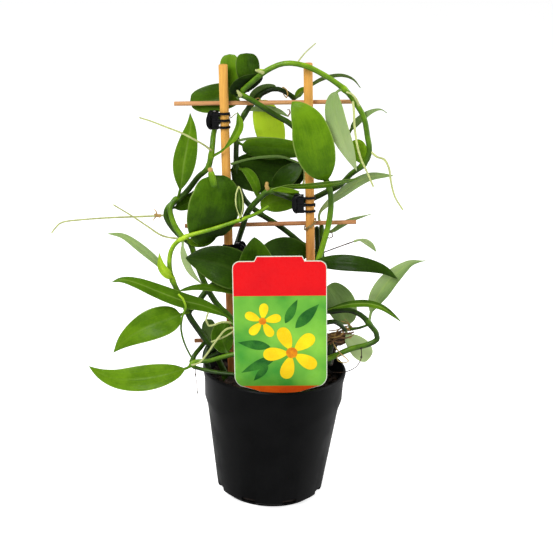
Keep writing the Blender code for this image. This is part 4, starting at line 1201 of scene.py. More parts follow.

# This vine grows in behind the others: its darkest tones are partly painted shade.
VINE_CENTRE = Vine("vine_centre", Slot.DARK, stems=[
    Stem([(318, 330, 20), (318, 295, 19), (316.5, 262, 18), (312, 250, 18), (302, 244, 18), (292.5, 236, 18),
        (278, 225, 18), (259, 213, 18), (245, 200, 17), (237.5, 182, 16), (236, 165, 16), (237, 136, 16),
        (241.5, 120, 17), (250, 106, 18.5), (261, 94, 19), (273, 89, 19), (284, 91, 19), (296, 99.5, 19)],
        2.5, 2, (0.15, 0.2, 0.22, 0.15, 0.14, 0.2, 0.16, 0.1, 0.06), (31, 24)),
    Stem([(318, 302, 19), (322, 280, 18.5), (322, 250, 18), (321.5, 224, 18)], 2.2, 1.9, (0.2,)),
    Stem([(317, 330, 24), (316.8, 305, 23), (317.5, 280, 22.5), (317.5, 250, 22), (316.8, 226, 22)], 2.3, 2.1,
        (0.1, 0.18), (29, 29)),
], leaves=[
    Leaf([(250, 104, 18.5), (253, 96, 19), (262, 90, 20), (276, 86, 20)], 9, 15, 12, 0.5, 1.1, 0.4, True),
    # Tone 1.0 here is painted light: the glow of this hanging leaf lit from behind.
    Leaf([(258, 96, 19), (262, 106, 23), (267, 120, 24), (271.5, 136, 24), (275, 152, 22)], 24.5, -8, 6, 0.52,
        0.85, 1.0, crease=0),
    Leaf([(235, 140.5, 16), (245, 145.5, 15), (262, 147, 14), (284, 148, 14), (300, 149.5, 15),
        (317, 153, 17)], 19.5, 24, 12, 0.36, 1.1, 0.4, crease=0, shade=0.16),
    # A 2.4 mm strip of pale underside along the upper edge of the leaf before: partly its curled edge, partly
    # a painted sheen along it.
    Leaf([(238, 140.5, 14), (250, 138.2, 13), (265, 138, 12), (283, 140.6, 12), (298, 146.5, 13)], 2.4, 30,
        12, 0.45, 1.2, 0.5, True),
    Leaf([(223, 169, 14), (240, 171.5, 16), (262, 173, 18), (284, 174.5, 19), (305, 171, 19)], 34, -12, 6,
        0.44, 0.8, 0.16, crease=0, shade=0.06),
    # A 2.4 mm strip of pale underside along the upper edge of the leaf before: partly its curled edge, partly
    # a painted sheen along it.
    Leaf([(231, 164, 8), (247, 159.5, 8), (263, 157, 8), (282, 156.8, 8.5), (301, 164, 9)], 2.4, 30, 12, 0.5,
        1.0, 0.4, True),
    Leaf([(237, 168, 16), (247, 172, 13), (255, 184, 10), (258, 199, 9)], 9, -20, 12, 0.45, 1.5, 0.5),
    Leaf([(259, 213, 18), (266, 205, 21), (278, 200, 23), (291, 199, 23), (305, 203, 22)], 20, 8, 6,
        tone=0.6),
    Leaf([(295, 99, 19), (299, 93, 19), (304, 87, 19)], 6, 10, tone=0.6),
    Leaf([(296, 98, 19), (311, 85, 19), (325, 77.5, 20), (341, 75, 20), (353, 79, 20), (361, 88.5, 20)], 4.2,
        40, 12, 0.42, 1.7, 0.36, True, crease=0.3),
    Leaf([(322, 231, 18), (319, 215, 17), (327, 204, 16), (342, 192.5, 14), (357, 182, 13), (372, 176, 13),
        (394, 175.5, 15)], 8.8, 18, 14, 0.56, 2.1, 0.8, True, 0.7, tip=0.6),
    Leaf([(322, 234, 18), (332, 231, 18), (341, 225, 19), (352, 219.5, 20), (371.5, 214, 20)], 5, 30, 12,
        0.35, 1.9, 0.4, True, tip=0.7),
    Leaf([(243, 113, 17), (252, 109, 18), (266, 108, 19), (279, 111, 19), (289, 117, 18)], 6.5, 35, 12, 0.45,
        1.5, 0.6, True),
], roots=[
    Root([(288, 116, 18), (290, 113, 17), (289.5, 109.5, 17), (287, 110, 17)], 0.7, 0.3, 0.5),
    Root([(283, 87, 16.5), (286.5, 89.5, 15.7), (288, 94, 16), (286.5, 98, 17), (284, 95, 21), (282, 90, 21),
        (283, 87, 16.5)], 0.45, 0.5, 1.0),
    Root([(254, 101, 16), (257, 98, 15), (260, 98.5, 15)], 0.9, 0.55, 0.4),
])

VINE_RIGHT = Vine("vine_right", Slot.YOUNG, stems=[
    Stem([(318, 363, -22), (330, 358, -19), (341, 353, -17), (352, 348.5, -16), (368, 344.5, -15),
        (377.5, 339, -15), (376, 332, -15), (371, 326, -14), (364, 317.5, -13), (355, 312, -12),
        (345, 310, -12), (332, 311.5, -13), (320, 310.5, -14)], 2.5, 2.1, (0.3, 0.45, 0.55, 0.45, 0.25, 0.08,
        0.08), (26, -24)),
    Stem([(318, 327, -19), (326, 322.5, -18), (334, 321.5, -17), (341, 325.5, -14), (346, 331, -11)], 2.1,
        1.7, (0.12, 0.16)),
    Stem([(370, 324, -14), (359, 328, -9), (349, 329, -5)], 0.9, 1.3, (0.3, 0.25)),
    # A thick near-black stem: partly a dark stem, partly painted shade filling the gap between the label and
    # the pot's rim.
    Stem([(336, 338, -8), (331.5, 344, -11), (329, 353, -15), (328, 366, -19)], 2.6, 3.2, (0.03,)),
], leaves=[
    Leaf([(369, 322, -14), (371, 312, -15), (375, 300, -16), (380, 291.5, -17), (388, 281, -18),
        (396, 273.3, -18), (404, 267, -17), (412, 262.5, -15), (427, 260.5, -13)], 15.5, 12, 14, 0.38, 2.4,
        0.62, True, 0.4, shade=0.14),
    Leaf([(322, 310.5, -19), (335, 307, -20), (350, 303.8, -22), (366, 303, -24), (379, 305.8, -25),
        (389, 311.5, -24), (401.5, 322, -22)], 7, 40, 12, 0.4, 1.5, 0.4, crease=0.7, tip=0.48, shade=-0.12,
        twist=-20),
    Leaf([(350, 329, -5), (348, 321, -4), (341, 305, -2), (333, 292, 0), (327, 286, 1)], 25, 12, 8, 0.5, 1.0,
        0.6, True, tip=0.42),
    Leaf([(346, 331, -8), (348, 337, -8), (357, 346, -7), (370, 358, -5)], 18, -15, 8, 0.6, 1.0, 1.0, True),
], roots=[
    Root([(334, 345, -18), (340, 353, -21), (346, 358, -22), (349, 361.5, -22), (344, 363, -22),
        (338, 361, -22), (336.5, 357, -22), (340, 354, -23)], 0.55, 0.56, 0.6),
    Root([(361, 347, -17), (361.5, 352, -18), (361, 359, -18), (356, 367, -18), (345, 372, -17),
        (333, 372.5, -14)], 0.4, 0.1, 0.8, (0.02, 0.22)),
    Root([(350, 330, -5), (341, 331, -8), (333, 335, -11), (325, 341, -13)], 0.9, 0.3),
    Root([(352, 333, -6), (343, 334, -9), (334, 335, -11), (324, 333, -12)], 0.8, 0.34),
    Root([(351, 331, -6), (345, 327, -9), (337, 330, -11), (328, 331, -12)], 0.6, 0.42),
    Root([(353, 335, -6), (346, 338, -9), (338, 338, -11), (327, 345, -13)], 0.9, 0.28),
    Root([(349, 328, -6), (344, 331, -10), (340, 336, -12), (329, 338, -13)], 0.7, 0.42),
    Root([(348, 326, -5), (341, 328, -9), (335, 334, -11), (333, 343, -13), (337, 350, -16)], 0.6, 0.36),
    Root([(354, 332, -6), (348, 334, -9), (341, 333, -11), (333, 340, -13), (329, 348, -14)], 0.7, 0.26),
    Root([(350, 334, -6), (344, 341, -9), (336, 342, -12), (326, 338, -13)], 0.8, 0.3),
    # This root and the next are thick and near-black: partly dead roots, partly painted shade in the gap
    # beside the label.
    Root([(346, 337, -7), (338, 341, -10), (331, 347, -12), (326, 355, -14)], 1.3, 0.12),
    Root([(342, 334, -6), (334, 340, -8), (329, 349, -10), (328, 360, -12)], 1.5, 0.06),
    Root([(352, 336, -5), (343, 339, -7), (334, 339, -9), (325, 336, -12)], 1.5, 0.3, 0.7),
    Root([(351, 333, -5), (342, 336, -7), (333, 338, -9), (324, 343, -11)], 1.2, 0.4, 0.7),
    Root([(349, 339, -5), (340, 344, -8), (331, 344, -10), (324, 348, -12)], 1.7, 0.2, 0.8),
    # This root and the next are thick and near-black: partly dead roots, partly painted shade in the gap
    # beside the label.
    Root([(340, 338, -6), (335, 346, -9), (333, 356, -14), (330, 366, -18)], 1.9, 0.03, 0.9),
    Root([(334, 334, -6), (329, 343, -9), (327, 354, -13), (326, 364, -16)], 2.1, 0.04, 0.9),
    Root([(347, 335, -5), (338, 333, -7), (330, 334, -9), (323, 338, -11)], 1.3, 0.34, 0.7),
    Root([(354, 334, -6), (350, 338, -8), (343, 341, -9)], 0.55, 0.42),
    Root([(352, 327, -5), (347, 323, -7), (341, 321, -9)], 0.45, 0.42),
    Root([(353, 331, -5), (350, 325, -8), (345, 319, -10)], 0.4, 0.4),
])

VINE_LOW = Vine("vine_low", Slot.YOUNG, stems=[
    Stem([(250, 352, -29), (238, 353.5, -28), (224, 356.5, -27), (208, 361, -25), (196, 361.5, -24),
        (189, 367, -23)], 2.3, 1.8, (0.3, 0.45, 0.5), (-10, -29)),
    Stem([(246, 378, -35), (234, 374.5, -34), (220, 373, -32), (205, 370, -29), (192, 366.5, -24)], 1.9, 1.5,
        (0.1, 0.16, 0.3)),
    Stem([(191, 364, -22), (194, 356, -19), (199, 349.5, -12), (206, 341, -3), (214, 332, 3)], 2.1, 1.9, (0.3,
        0.12, 0.08)),
    # This stem and the two after it are near-black: partly dark stems, partly painted shade in the pot's
    # mouth behind the leaves.
    Stem([(215, 338, -5), (208, 347, -8), (205, 357, -13), (209, 370, -20)], 2.3, 2.6, (0.06, 0.03)),
    Stem([(206, 356, -17), (213, 349, -13), (222, 346.5, -11), (232, 348, -12)], 2.0, 2.4, (0.04, 0.08)),
    Stem([(203, 361, -20), (212, 356, -17), (222, 353, -15), (233, 355, -16)], 1.8, 2.2, (0.02,)),
], leaves=[
    Leaf([(194, 364, -23), (187, 368, -25), (172, 373, -29), (153, 377.3, -31), (135, 379.5, -32),
        (118, 379.3, -33), (106, 376.3, -33), (97.5, 372.3, -32), (88.5, 366, -31)], 22, 14, 12, 0.4, 1.65,
        0.58, crease=0.06, tip=0.62),
    Leaf([(219, 351, -6), (214, 343, -3), (209.5, 333, -1), (207.5, 319, 0)], 13, 15, 12, 0.6, 0.9, 0.42,
        True),
    Leaf([(229, 356, -24), (225, 347, -20), (222.5, 336, -18), (225.5, 321, -17)], 19, -10, 12, 0.5, 1.1, 0.4,
        crease=0.1),
], roots=[
    Root([(196, 361, -24), (195.5, 373, -24), (197.5, 390, -24), (198, 400, -24)], 0.3, 0.15, 0.6, (0.35,
        0.8)),
])

VINE_LABEL = Vine("vine_label", Slot.DARK, stems=[
    Stem([(268, 345, -23), (262, 318, -21), (256, 295, -20), (259, 276, -19)], 2.6, 2.2, (0.3, 0.25), (4,
        -24)),
    Stem([(265, 332, -22), (252, 334, -23), (240, 328, -22), (231, 322, -20)], 2.2, 2, (0.4, 0.5)),
], leaves=[
    Leaf([(238, 327, -22), (225, 315.5, -20), (205, 306.5, -20), (185, 301.5, -20), (173, 297.5, -21),
        (155, 290.5, -22), (137.5, 283.5, -23), (123, 280, -23), (111.5, 282, -23)], 13.5, 18, 14, 0.48, 1.6,
        0.42, crease=0.35, tip=0.48),
    Leaf([(257, 298, -20), (233, 292, -18), (212, 288.5, -18), (195, 288, -18), (179, 291, -18)], 9, 50, 12,
        0.5, 1.4, 0.46),
    Leaf([(266, 286, -19), (247, 276, -20), (228, 267.5, -19), (207, 261, -17), (185.5, 258, -16)], 33, 4, 6,
        0.42, 1.5, 0.16, crease=0.03, tip=0.22, shade=0.05),
    Leaf([(257, 294, -22), (256.5, 274, -25), (255.5, 256, -27), (254.3, 237, -28)], 30, 5, 8, 0.4, 1.35, 0.3,
        crease=0, shade=-0.04),
    Leaf([(258, 282, -18), (264, 264, -10), (275, 253, 0), (290, 250, 7), (307, 257, 13)], 23, 14, 6, 0.5,
        0.95, 0.2, crease=0),
], roots=[
    Root([(233, 323, -20), (222, 322, -26), (214, 325, -28), (208.5, 326, -28), (206, 320, -28),
        (208.5, 312, -27)], 1.0, 0.92),
    Root([(240, 328, -22), (226.5, 329, -27), (216, 341, -30), (207, 354, -30), (199, 363, -30),
        (191, 365, -30)], 1.0, 0.9),
    Root([(238, 328, -23), (226, 336, -26), (211, 342, -27)], 0.85, 0.92),
])
VINES = (VINE_MAIN, VINE_CENTRE, VINE_RIGHT, VINE_LOW, VINE_LABEL)


def moved(x: float = 0, y: float = 0, z: float = 0) -> Matrix:
    """A shift along the axes."""
    return Matrix.Translation((x, y, z))


def turned(angle: float, axis: str) -> Matrix:
    """A turn about an axis."""
    return Matrix.Rotation(angle, 4, axis)


@dataclass
class Pot:
    """The nursery pot: foot, skirt with drain notches, tapering wall, stepped rim band and rolled lip."""

    rim_radius: float = 60 * MM
    height: float = 110 * MM
    band_height: float = 25 * MM
    band_step: float = 8 * MM
    wall_inset: float = 5.2 * MM
    lip: float = 1.2 * MM
    flare: float = 2.1 * MM
    flare_height: float = 10 * MM
    skirt_radius: float = 44.4 * MM
    skirt_height: float = 5 * MM
    foot_radius: float = 39.5 * MM
    wall: float = 1.4 * MM
    floor: float = 2 * MM
    steps: int = 144
    notches: int = 8
    notch_width: float = 12 * MM
    notch_top: float = 8 * MM
    notch_reach: float = 6 * MM
    notch_edge: float = 0.8 * MM
    gap: float = 0.3 * MM
    edge: float = 0.35 * MM
    edge_angle: float = math.radians(30)

    def inner_radius(self, height: float) -> float:
        """The pot's inner radius at a height."""
        low, high = self.skirt_height, self.height - self.band_height - self.band_step
        slope = (self.rim_radius - self.wall_inset - self.skirt_radius) / (high - low)
        return self.skirt_radius - self.wall + slope * (height - low)

    def profile(self) -> list[Pair]:
        """Radius and height of the pot's corners, from under its foot round to its inner floor."""
        band = self.height - self.band_height
        low = band - self.band_step
        rim, lip, foot = self.rim_radius, self.lip, self.foot_radius
        skirt, mid = self.skirt_height, self.inner_radius(low)
        return [
            (0, 0), (foot - lip, 0), (foot, lip), (foot + lip / 2, skirt - 2 * MM),
            (self.skirt_radius - MM, skirt - MM), (self.skirt_radius, skirt), (mid + self.wall, low),
            (rim - self.flare - lip / 2, band), (rim - self.flare, self.height - self.flare_height),
            (rim - lip / 2, self.height - 2.5 * lip), (rim - lip / 3, self.height - lip),
            (rim - lip, self.height), (rim - lip - self.wall, self.height),
            (rim - self.flare - lip - self.wall, self.height - self.flare_height),
            (mid, low), (self.inner_radius(skirt), skirt), (foot - lip, self.floor), (0, self.floor),
        ]

    def build(self) -> None:
        """Turn the pot, cut its notches and round its edges."""
        finish = PlasticFinish("pot_black", (0.0010, 0.0011, 0.0012), (0.0065, 0.0065, 0.007), 0.42,
                               shine=0.055)
        solid = Solid()
        solid.lathe(self.profile(), self.steps)
        pot = solid.piece("nursery_pot", finish.material())
        low, reach, half = self.floor + self.gap, self.notch_reach / 2, self.notch_width / 2
        outline = [(-reach, -half), (reach, -half), (reach, half), (-reach, half)]
        out = moved(self.skirt_radius - self.notch_reach / 4, 0, low)
        cutters = []
        for number in range(self.notches):
            turn = turned(math.tau * (number + 0.5) / self.notches, "Z")
            cutter = Solid()
            cutter.plate(outline, self.notch_top - low, turn @ out, self.notch_edge, segments=3)
            cutters.append(cutter.piece("notch"))
        carve(pot, cutters, "DIFFERENCE")
        rounding = pot.modifiers.new("edges", "BEVEL")
        rounding.width = self.edge
        rounding.segments = 2
        rounding.angle_limit = self.edge_angle
        rounding.harden_normals = False
        shade(pot.data)
        hand_over(pot, Slot.POT, ["pot"])


@dataclass
class Substrate:
    """Bark chips over the domed substrate, whose mesh stays as the frame has it."""

    top: float = 98 * MM
    swell: float = 2.5 * MM
    radius: float = 54.5 * MM
    chips: int = 620
    seed: int = 11
    long: Pair = (3.0 * MM, 9.0 * MM)
    wide: Pair = (0.35, 0.8)
    thick: Pair = (1.0 * MM, 2.6 * MM)
    lift: Pair = (0.0, 0.5)
    tilt: float = 0.22
    chamfer: float = 0.28
    ragged: float = 0.06

    def build(self) -> None:
        """Dress the substrate and strew the chips."""
        finish = SoilFinish("bark_and_peat").material()
        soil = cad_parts["substrate"]
        soil.data.materials.clear()
        soil.data.materials.append(finish)
        draw = random.Random(self.seed)
        solid = Solid()
        for _ in range(self.chips):
            self.add_chip(solid, draw)
        hand_over(solid.piece("bark_chips", finish), Slot.SOIL)

    def add_chip(self, solid: Solid, draw: random.Random) -> None:
        """Add one chip: a small block, its corners cut and pushed about, lying at its own angle.

        Args:
            solid: The mesh that it goes into.
            draw: Gives its place, sizes and angles.
        """
        reach = self.radius * math.sqrt(draw.random())
        angle = draw.uniform(0, math.tau)
        long, thick = draw.uniform(*self.long), draw.uniform(*self.thick)
        wide = long * draw.uniform(*self.wide)
        reach = min(reach, self.radius - long / 2)
        dome = self.swell * (1 - (reach / self.radius) ** 2)
        height = self.top + dome + thick * draw.uniform(*self.lift)
        place = moved(reach * math.cos(angle), reach * math.sin(angle), height)
        place = place @ turned(draw.uniform(0, math.tau), "Z")
        place = place @ turned(draw.gauss(0, self.tilt), "X") @ turned(draw.gauss(0, self.tilt), "Y")
        made = bmesh.ops.create_cube(solid.shape, size=1, matrix=Matrix.Diagonal((long, wide, thick, 1)))
        old = set(solid.shape.verts) - set(made["verts"])
        edges = list({edge for vert in made["verts"] for edge in vert.link_edges})
        solid.bevel(edges, thick * self.chamfer, 1, False)
        tone = draw.random() ** 2
        fresh = solid.fresh(old)
        for vert in fresh:
            push = Vector((draw.uniform(-1, 1), draw.uniform(-1, 1), draw.uniform(-0.5, 0.5)))
            vert.co += push * long * self.ragged
            vert[solid.tone] = tone
        bmesh.ops.transform(solid.shape, matrix=place, verts=fresh)


@dataclass(frozen=True)
class Bar:
    """A crossbar: its height up the rack, the middle across, its length and its tilt."""

    height: float
    middle: float
    length: float
    tilt: float


@dataclass
class Rack:
    """Two bamboo stakes in a leaning plane, with three crossbars behind them, their brads and one tie."""

    foot: Triple = (-1.5 * MM, 6 * MM, 98 * MM)
    lean: float = math.radians(3.4)
    gap: float = 0.3 * MM
    stake_radius: float = 3.7 * MM
    stake_offset: float = 33.4 * MM
    stake_depth: float = 50 * MM
    stake_height: float = 264 * MM
    stake_edge: float = 0.4 * MM
    stake_uneven: float = 0.05
    stake_nodes: dict[str, Triple] = field(default_factory=lambda: {
        "left": (0.22, 0.55, 0.83), "right": (0.12, 0.47, 0.76)})
    bar_radius: float = 1.9 * MM
    bar_edge: float = 0.25 * MM
    bar_uneven: float = 0.16
    bars: dict[str, Bar] = field(default_factory=lambda: {
        "top": Bar(232 * MM, -1.6 * MM, 144 * MM, math.radians(0.3)),
        "middle": Bar(131.7 * MM, 1.1 * MM, 140 * MM, math.radians(-0.5)),
        "lower": Bar(32.7 * MM, 1.3 * MM, 132 * MM, math.radians(-1.4)),
    })
    rod_step: float = 2.2 * MM
    rod_sides: int = 28
    rod_core: float = 0.55
    rod_grain: Triple = (420, 420, 28)
    node_reach: float = 1.1 * MM
    node_pinch: float = 0.02
    tie_place: tuple[str, str] = ("middle", "right")
    tie_radius: float = 0.42 * MM
    tie_clear: float = 0.5 * MM
    tie_slant: float = math.radians(38)
    tie_squareness: float = 0.6
    tie_slide: float = 1.9 * MM
    tie_steps: int = 40
    tie_wraps: int = 2
    brad_radius: float = 0.45 * MM
    brad_head: float = 1.3 * MM
    brad_head_thick: float = 0.6 * MM
    brad_depth: float = 4.5 * MM

    @property
    def bar_back(self) -> float:
        """How far the crossbars' axes lie behind the stakes'."""
        return self.stake_radius + self.gap + self.bar_radius

    def place(self, across: float = 0.0, height: float = 0.0, back: float = 0.0, tilt: float = 0.0) -> Matrix:
        """Find a frame in the rack's leaning plane, with Z along the stakes."""
        lean = Matrix.Translation(self.foot) @ turned(-self.lean, "Y")
        return lean @ moved(across, back, height) @ turned(tilt, "Y")

    def side(self, name: str) -> float:
        """Where a stake stands across the rack."""
        return self.stake_offset if name == "right" else -self.stake_offset

    def crossing(self, bar: Bar, side: str, back: float = 0.0) -> Matrix:
        """The frame where a crossbar passes a stake, so far behind the stake's axis."""
        across = self.side(side)
        return self.place(across, bar.height - (across - bar.middle) * math.sin(bar.tilt), back)

    def rod(self, name: str, radius: float, length: float, place: Matrix, edge: float, nodes: Sequence[float],
            uneven: float, finish: Material) -> Object:
        """Turn a cane with joints and a slightly uneven skin.

        Args:
            name: The piece's name.
            radius: The cane's radius.
            length: Its length.
            place: Its frame, with Z along it.
            edge: The bevel of its cut ends.
            nodes: Shares of the length where a joint of the cane lies.
            uneven: How much the skin departs from round, as a share of the radius.
            finish: Its material.

        Returns:
            The cane's object.
        """
        count = round((length - 2 * edge) / self.rod_step)
        rises = [edge + (length - 2 * edge) * number / count for number in range(count + 1)]
        core = radius * self.rod_core
        profile = [(0, 0), (core, 0), (radius - edge, 0)] + [(radius, rise) for rise in rises]
        profile += [(radius - edge, length), (core, length), (0, length)]
        solid = Solid()
        made = solid.lathe(profile, self.rod_sides)
        own_shift = Vector((len(name) * 0.37, radius * 900, length * 7))
        for vert in made:
            spot = Vector([value * scale for value, scale in zip(vert.co, self.rod_grain)])
            skin = noise.noise(spot + own_shift)
            ring = sum(hump(vert.co.z - share * length, self.node_reach) for share in nodes)
            scale = 1 - uneven * (0.5 + 0.5 * skin) - self.node_pinch * ring
            vert.co.x *= scale
            vert.co.y *= scale
        bmesh.ops.transform(solid.shape, matrix=place, verts=made)
        return solid.piece(name, finish)

    def build(self) -> None:
        """Build stakes, crossbars, brads and tie."""
        cane = CaneFinish("bamboo_skin", (0.80, 0.44, 0.085), (0.50, 0.175, 0.045), (1, 1, 0.03)).material()
        stick = CaneFinish("bamboo_split", (0.74, 0.40, 0.17), (0.38, 0.15, 0.06), (0.03, 1, 1), 0.12, 0.40,
                           0.6).material()
        steel = SteelFinish("bright_steel", (0.62, 0.62, 0.64), (0.30, 0.27, 0.24)).material()
        wire = SteelFinish("coated_wire", (0.20, 0.13, 0.035), (0.42, 0.33, 0.12), 0.42, 0.0).material()
        for side, nodes in self.stake_nodes.items():
            foot = self.place(self.side(side), -self.stake_depth)
            length = self.stake_depth + self.stake_height
            stake = self.rod(f"cane_{side}", self.stake_radius, length, foot, self.stake_edge, nodes,
                             self.stake_uneven, cane)
            hand_over(stake, Slot.CANE, [f"stake_{side}"])
        for level, bar in self.bars.items():
            lay = turned(math.pi / 2, "Y") @ moved(z=-bar.length / 2)
            place = self.place(bar.middle, bar.height, self.bar_back, bar.tilt) @ lay
            made = self.rod(f"split_stick_{level}", self.bar_radius, bar.length, place, self.bar_edge, (),
                            self.bar_uneven, stick)
            hand_over(made, Slot.STICK, [f"crossbar_{level}"])
            for side in self.stake_nodes:
                if (level, side) == self.tie_place:
                    self.build_tie(bar, side, wire, f"tie_{level}_{side}")
                elif f"brad_{level}_{side}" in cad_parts:
                    self.build_brad(bar, side, steel, f"brad_{level}_{side}")

    def build_brad(self, bar: Bar, side: str, finish: Material, node: str) -> None:
        """Build a small nail driven from behind, with a domed head and a point.

        Args:
            bar: The crossbar that it pins.
            side: The stake that it is driven into.
            finish: Its material.
            node: The CAD node that it stands for.
        """
        shank = self.brad_depth + 2 * (self.bar_radius + self.gap)
        tip = self.crossing(bar, side, self.bar_back + self.bar_radius + self.gap - shank)
        head, thick, radius = self.brad_head, self.brad_head_thick, self.brad_radius
        profile = [(0, 0), (radius * 0.5, 1.2 * MM), (radius, 2.2 * MM), (radius, shank),
                   (head * 0.94, shank), (head, shank + thick * 0.3), (head * 0.9, shank + thick * 0.7),
                   (head * 0.5, shank + thick * 0.95), (0, shank + thick)]
        solid = Solid()
        solid.lathe(profile, 24, tip @ turned(-math.pi / 2, "X"))
        hand_over(solid.piece(f"nail_{node}", finish), Slot.STEEL, [node])

    def build_tie(self, bar: Bar, side: str, finish: Material, node: str) -> None:
        """Build turns of coated wire that slant across the stake in front and the crossbar behind.

        Args:
            bar: The crossbar that it holds.
            side: The stake that it goes round.
            finish: Its material.
            node: The CAD node that it stands for.
        """
        clear = self.gap + self.tie_clear
        front, rear = -self.stake_radius - clear, self.bar_back + self.bar_radius + clear
        reach = (self.stake_radius + clear) / math.cos(self.tie_slant) + self.gap
        place = self.crossing(bar, side)
        points = []
        count = self.tie_steps * self.tie_wraps
        for number in range(count + 1):
            angle = math.tau * number / self.tie_steps - math.pi / 2
            slide = (number / count - 0.5) * self.tie_slide
            slant = reach * self.squared(math.cos(angle))
            deep = (front + rear) / 2 + (rear - front) / 2 * self.squared(math.sin(angle))
            rise = slant * math.sin(self.tie_slant) + slide
            points.append(place @ Vector((slant * math.cos(self.tie_slant), deep, rise)))
        solid = Solid()
        solid.wire(points, self.tie_radius, 10, 0.5 * MM)
        hand_over(solid.piece("wire_tie", finish), Slot.WIRE, [node])

    def squared(self, part: float) -> float:
        """A sine or cosine bent so that a turn is a rounded square."""
        return math.copysign(abs(part) ** self.tie_squareness, part)


@dataclass(frozen=True)
class ClipSite:
    """Where a clip sits: its stake, its height up the rack, its hand and its jaw's body."""

    stake: str
    height: float
    hand: int
    body: Body


@dataclass
class Clip:
    """A claw clip: two jaws hinged on a sprung pin beside the stake."""

    name: str
    site: ClipSite
    rack: Rack
    height: float = 14 * MM
    wall: float = 1.4 * MM
    gap: float = 0.3 * MM
    edge: float = 0.3 * MM
    fine_edge: float = 0.25 * MM
    shoulder: float = 2.8 * MM
    claw_gap: float = 0.35 * MM
    claw_width: float = 2 * MM
    claw_thick: float = 1.3 * MM
    claw_root: float = 0.3 * MM
    claw_edge: float = 0.28 * MM
    claw_start: float = 60
    claw_turn: float = 92
    claw_levels: dict[End, tuple[float, ...]] = field(default_factory=lambda: {
        End.FRONT: (-5.5 * MM, 0, 5.5 * MM), End.REAR: (-2.75 * MM, 2.75 * MM)})
    pin_x: float = -7.6 * MM
    pin_radius: float = 1.1 * MM
    ear_radius: float = 2.3 * MM
    ear_width: float = 2 * MM
    ear_levels: dict[End, Pair] = field(default_factory=lambda: {
        End.FRONT: (-5.6 * MM, 5.6 * MM), End.REAR: (-3 * MM, 3 * MM)})
    web_sink: float = 0.5 * MM
    pad_reach: float = 7 * MM
    pad_spread: float = 5.2 * MM
    pad_flare: float = 0.6 * MM
    pad_curve: float = 4.4 * MM
    dish_depth: float = 0.45
    dish_reach: float = 0.52
    dish_rise: float = 0.66
    dish_middle: float = 0.56
    spring_turns: int = 4
    spring_steps: int = 20
    spring_wire: float = 0.24 * MM
    spring_clear: float = 0.12 * MM
    spring_half: float = 1.65 * MM

    def strip(self, line: Iterable[Pair], facing: int, thick: float, low: float, high: float,
              edge: float) -> Solid:
        """Bend a plate.

        Args:
            line: The line that it follows from above, before it is turned to the clip's hand and the jaw.
            facing: The way that its jaw faces.
            thick: Its thickness.
            low: The height where it starts.
            high: The height where it ends.
            edge: The width of the rounding of its edges.

        Returns:
            The plate in a mesh of its own.
        """
        line = [(x * self.site.hand, y * facing) for x, y in line]
        sides = []
        for number, (x, y) in enumerate(line):
            before, after = line[max(number - 1, 0)], line[min(number + 1, len(line) - 1)]
            along = Vector((after[0] - before[0], after[1] - before[1])).normalized()
            sides.append((Vector((x, y)), Vector((-along.y, along.x)) * thick / 2))
        outline = [place + out for place, out in sides] + [place - out for place, out in reversed(sides)]
        solid = Solid()
        solid.plate(outline, high - low, moved(z=low), edge)
        return solid

    def oval(self, reach: float, rise: float, middle: float, square: bool) -> Object:
        """Draw an oval block through the pad, front to back.

        Args:
            reach: Its half width.
            rise: Its half height.
            middle: Where its middle lies, from the pin.
            square: Whether it runs on square past the shoulder, as the pad's own outline does.

        Returns:
            The block's object, to cut with.
        """
        angles = [math.radians(90 + 180 * number / 20) for number in range(21)]
        outline = [(middle + reach * math.cos(angle), rise * math.sin(angle)) for angle in angles]
        if square:
            outline += [(2 * self.shoulder, -rise), (2 * self.shoulder, rise)]
        else:
            outline += [(2 * middle - x, -z) for x, z in outline[1:-1]]
        solid = Solid()
        flat = [(x * self.site.hand, z) for x, z in outline]
        solid.plate(flat, 30 * MM, turned(math.pi / 2, "X") @ moved(z=-15 * MM))
        return solid.piece("oval")

    def pad(self, end: End, plate_y: float, finish: Material) -> Object:
        """Build a jaw's plate and its dished finger pad.

        Args:
            end: Which jaw it is.
            plate_y: How far the plate's middle lies from the pin.
            finish: Its material.

        Returns:
            The plate's object.
        """
        reach, spread, half = self.pad_reach, self.pad_spread, self.height / 2
        line = [(-reach, spread + self.pad_flare), (-reach * 0.8, spread + 0.25 * MM), (-reach * 0.6, spread),
                (-self.ear_radius, plate_y), (0, plate_y), (self.shoulder, plate_y)]
        plate = self.strip(line, end.value, self.wall, -half, half, self.edge)
        body = plate.piece(f"clip_{self.name}_{end.name.lower()}", finish)
        carve(body, [self.oval(self.pad_curve, half, self.pad_curve - reach, True)], "INTERSECT")
        proud = [(x, y + self.wall * self.dish_depth) for x, y in line]
        dent = self.strip(proud, end.value, self.wall / 2, -half, half, 0).piece("dent")
        dish = self.oval(self.pad_curve * self.dish_reach, half * self.dish_rise, -reach * self.dish_middle,
                         False)
        carve(dent, [dish], "INTERSECT")
        carve(body, [dent], "DIFFERENCE")
        return body

    def ear(self, level: float) -> Object:
        """Build a bored ear round the pin at a height."""
        low, high = level - self.ear_width / 2, level + self.ear_width / 2
        bore, radius, edge = self.pin_radius + self.gap, self.ear_radius, self.fine_edge
        ear, hole = Solid(), Solid()
        ear.lathe([(0, low), (radius - edge, low), (radius, low + edge), (radius, high - edge),
                   (radius - edge, high), (0, high)], 32)
        hole.lathe([(0, low - MM), (bore, low - MM), (bore, high + MM), (0, high + MM)], 24)
        ring = ear.piece("ear")
        carve(ring, [hole.piece("hole")], "DIFFERENCE")
        return ring

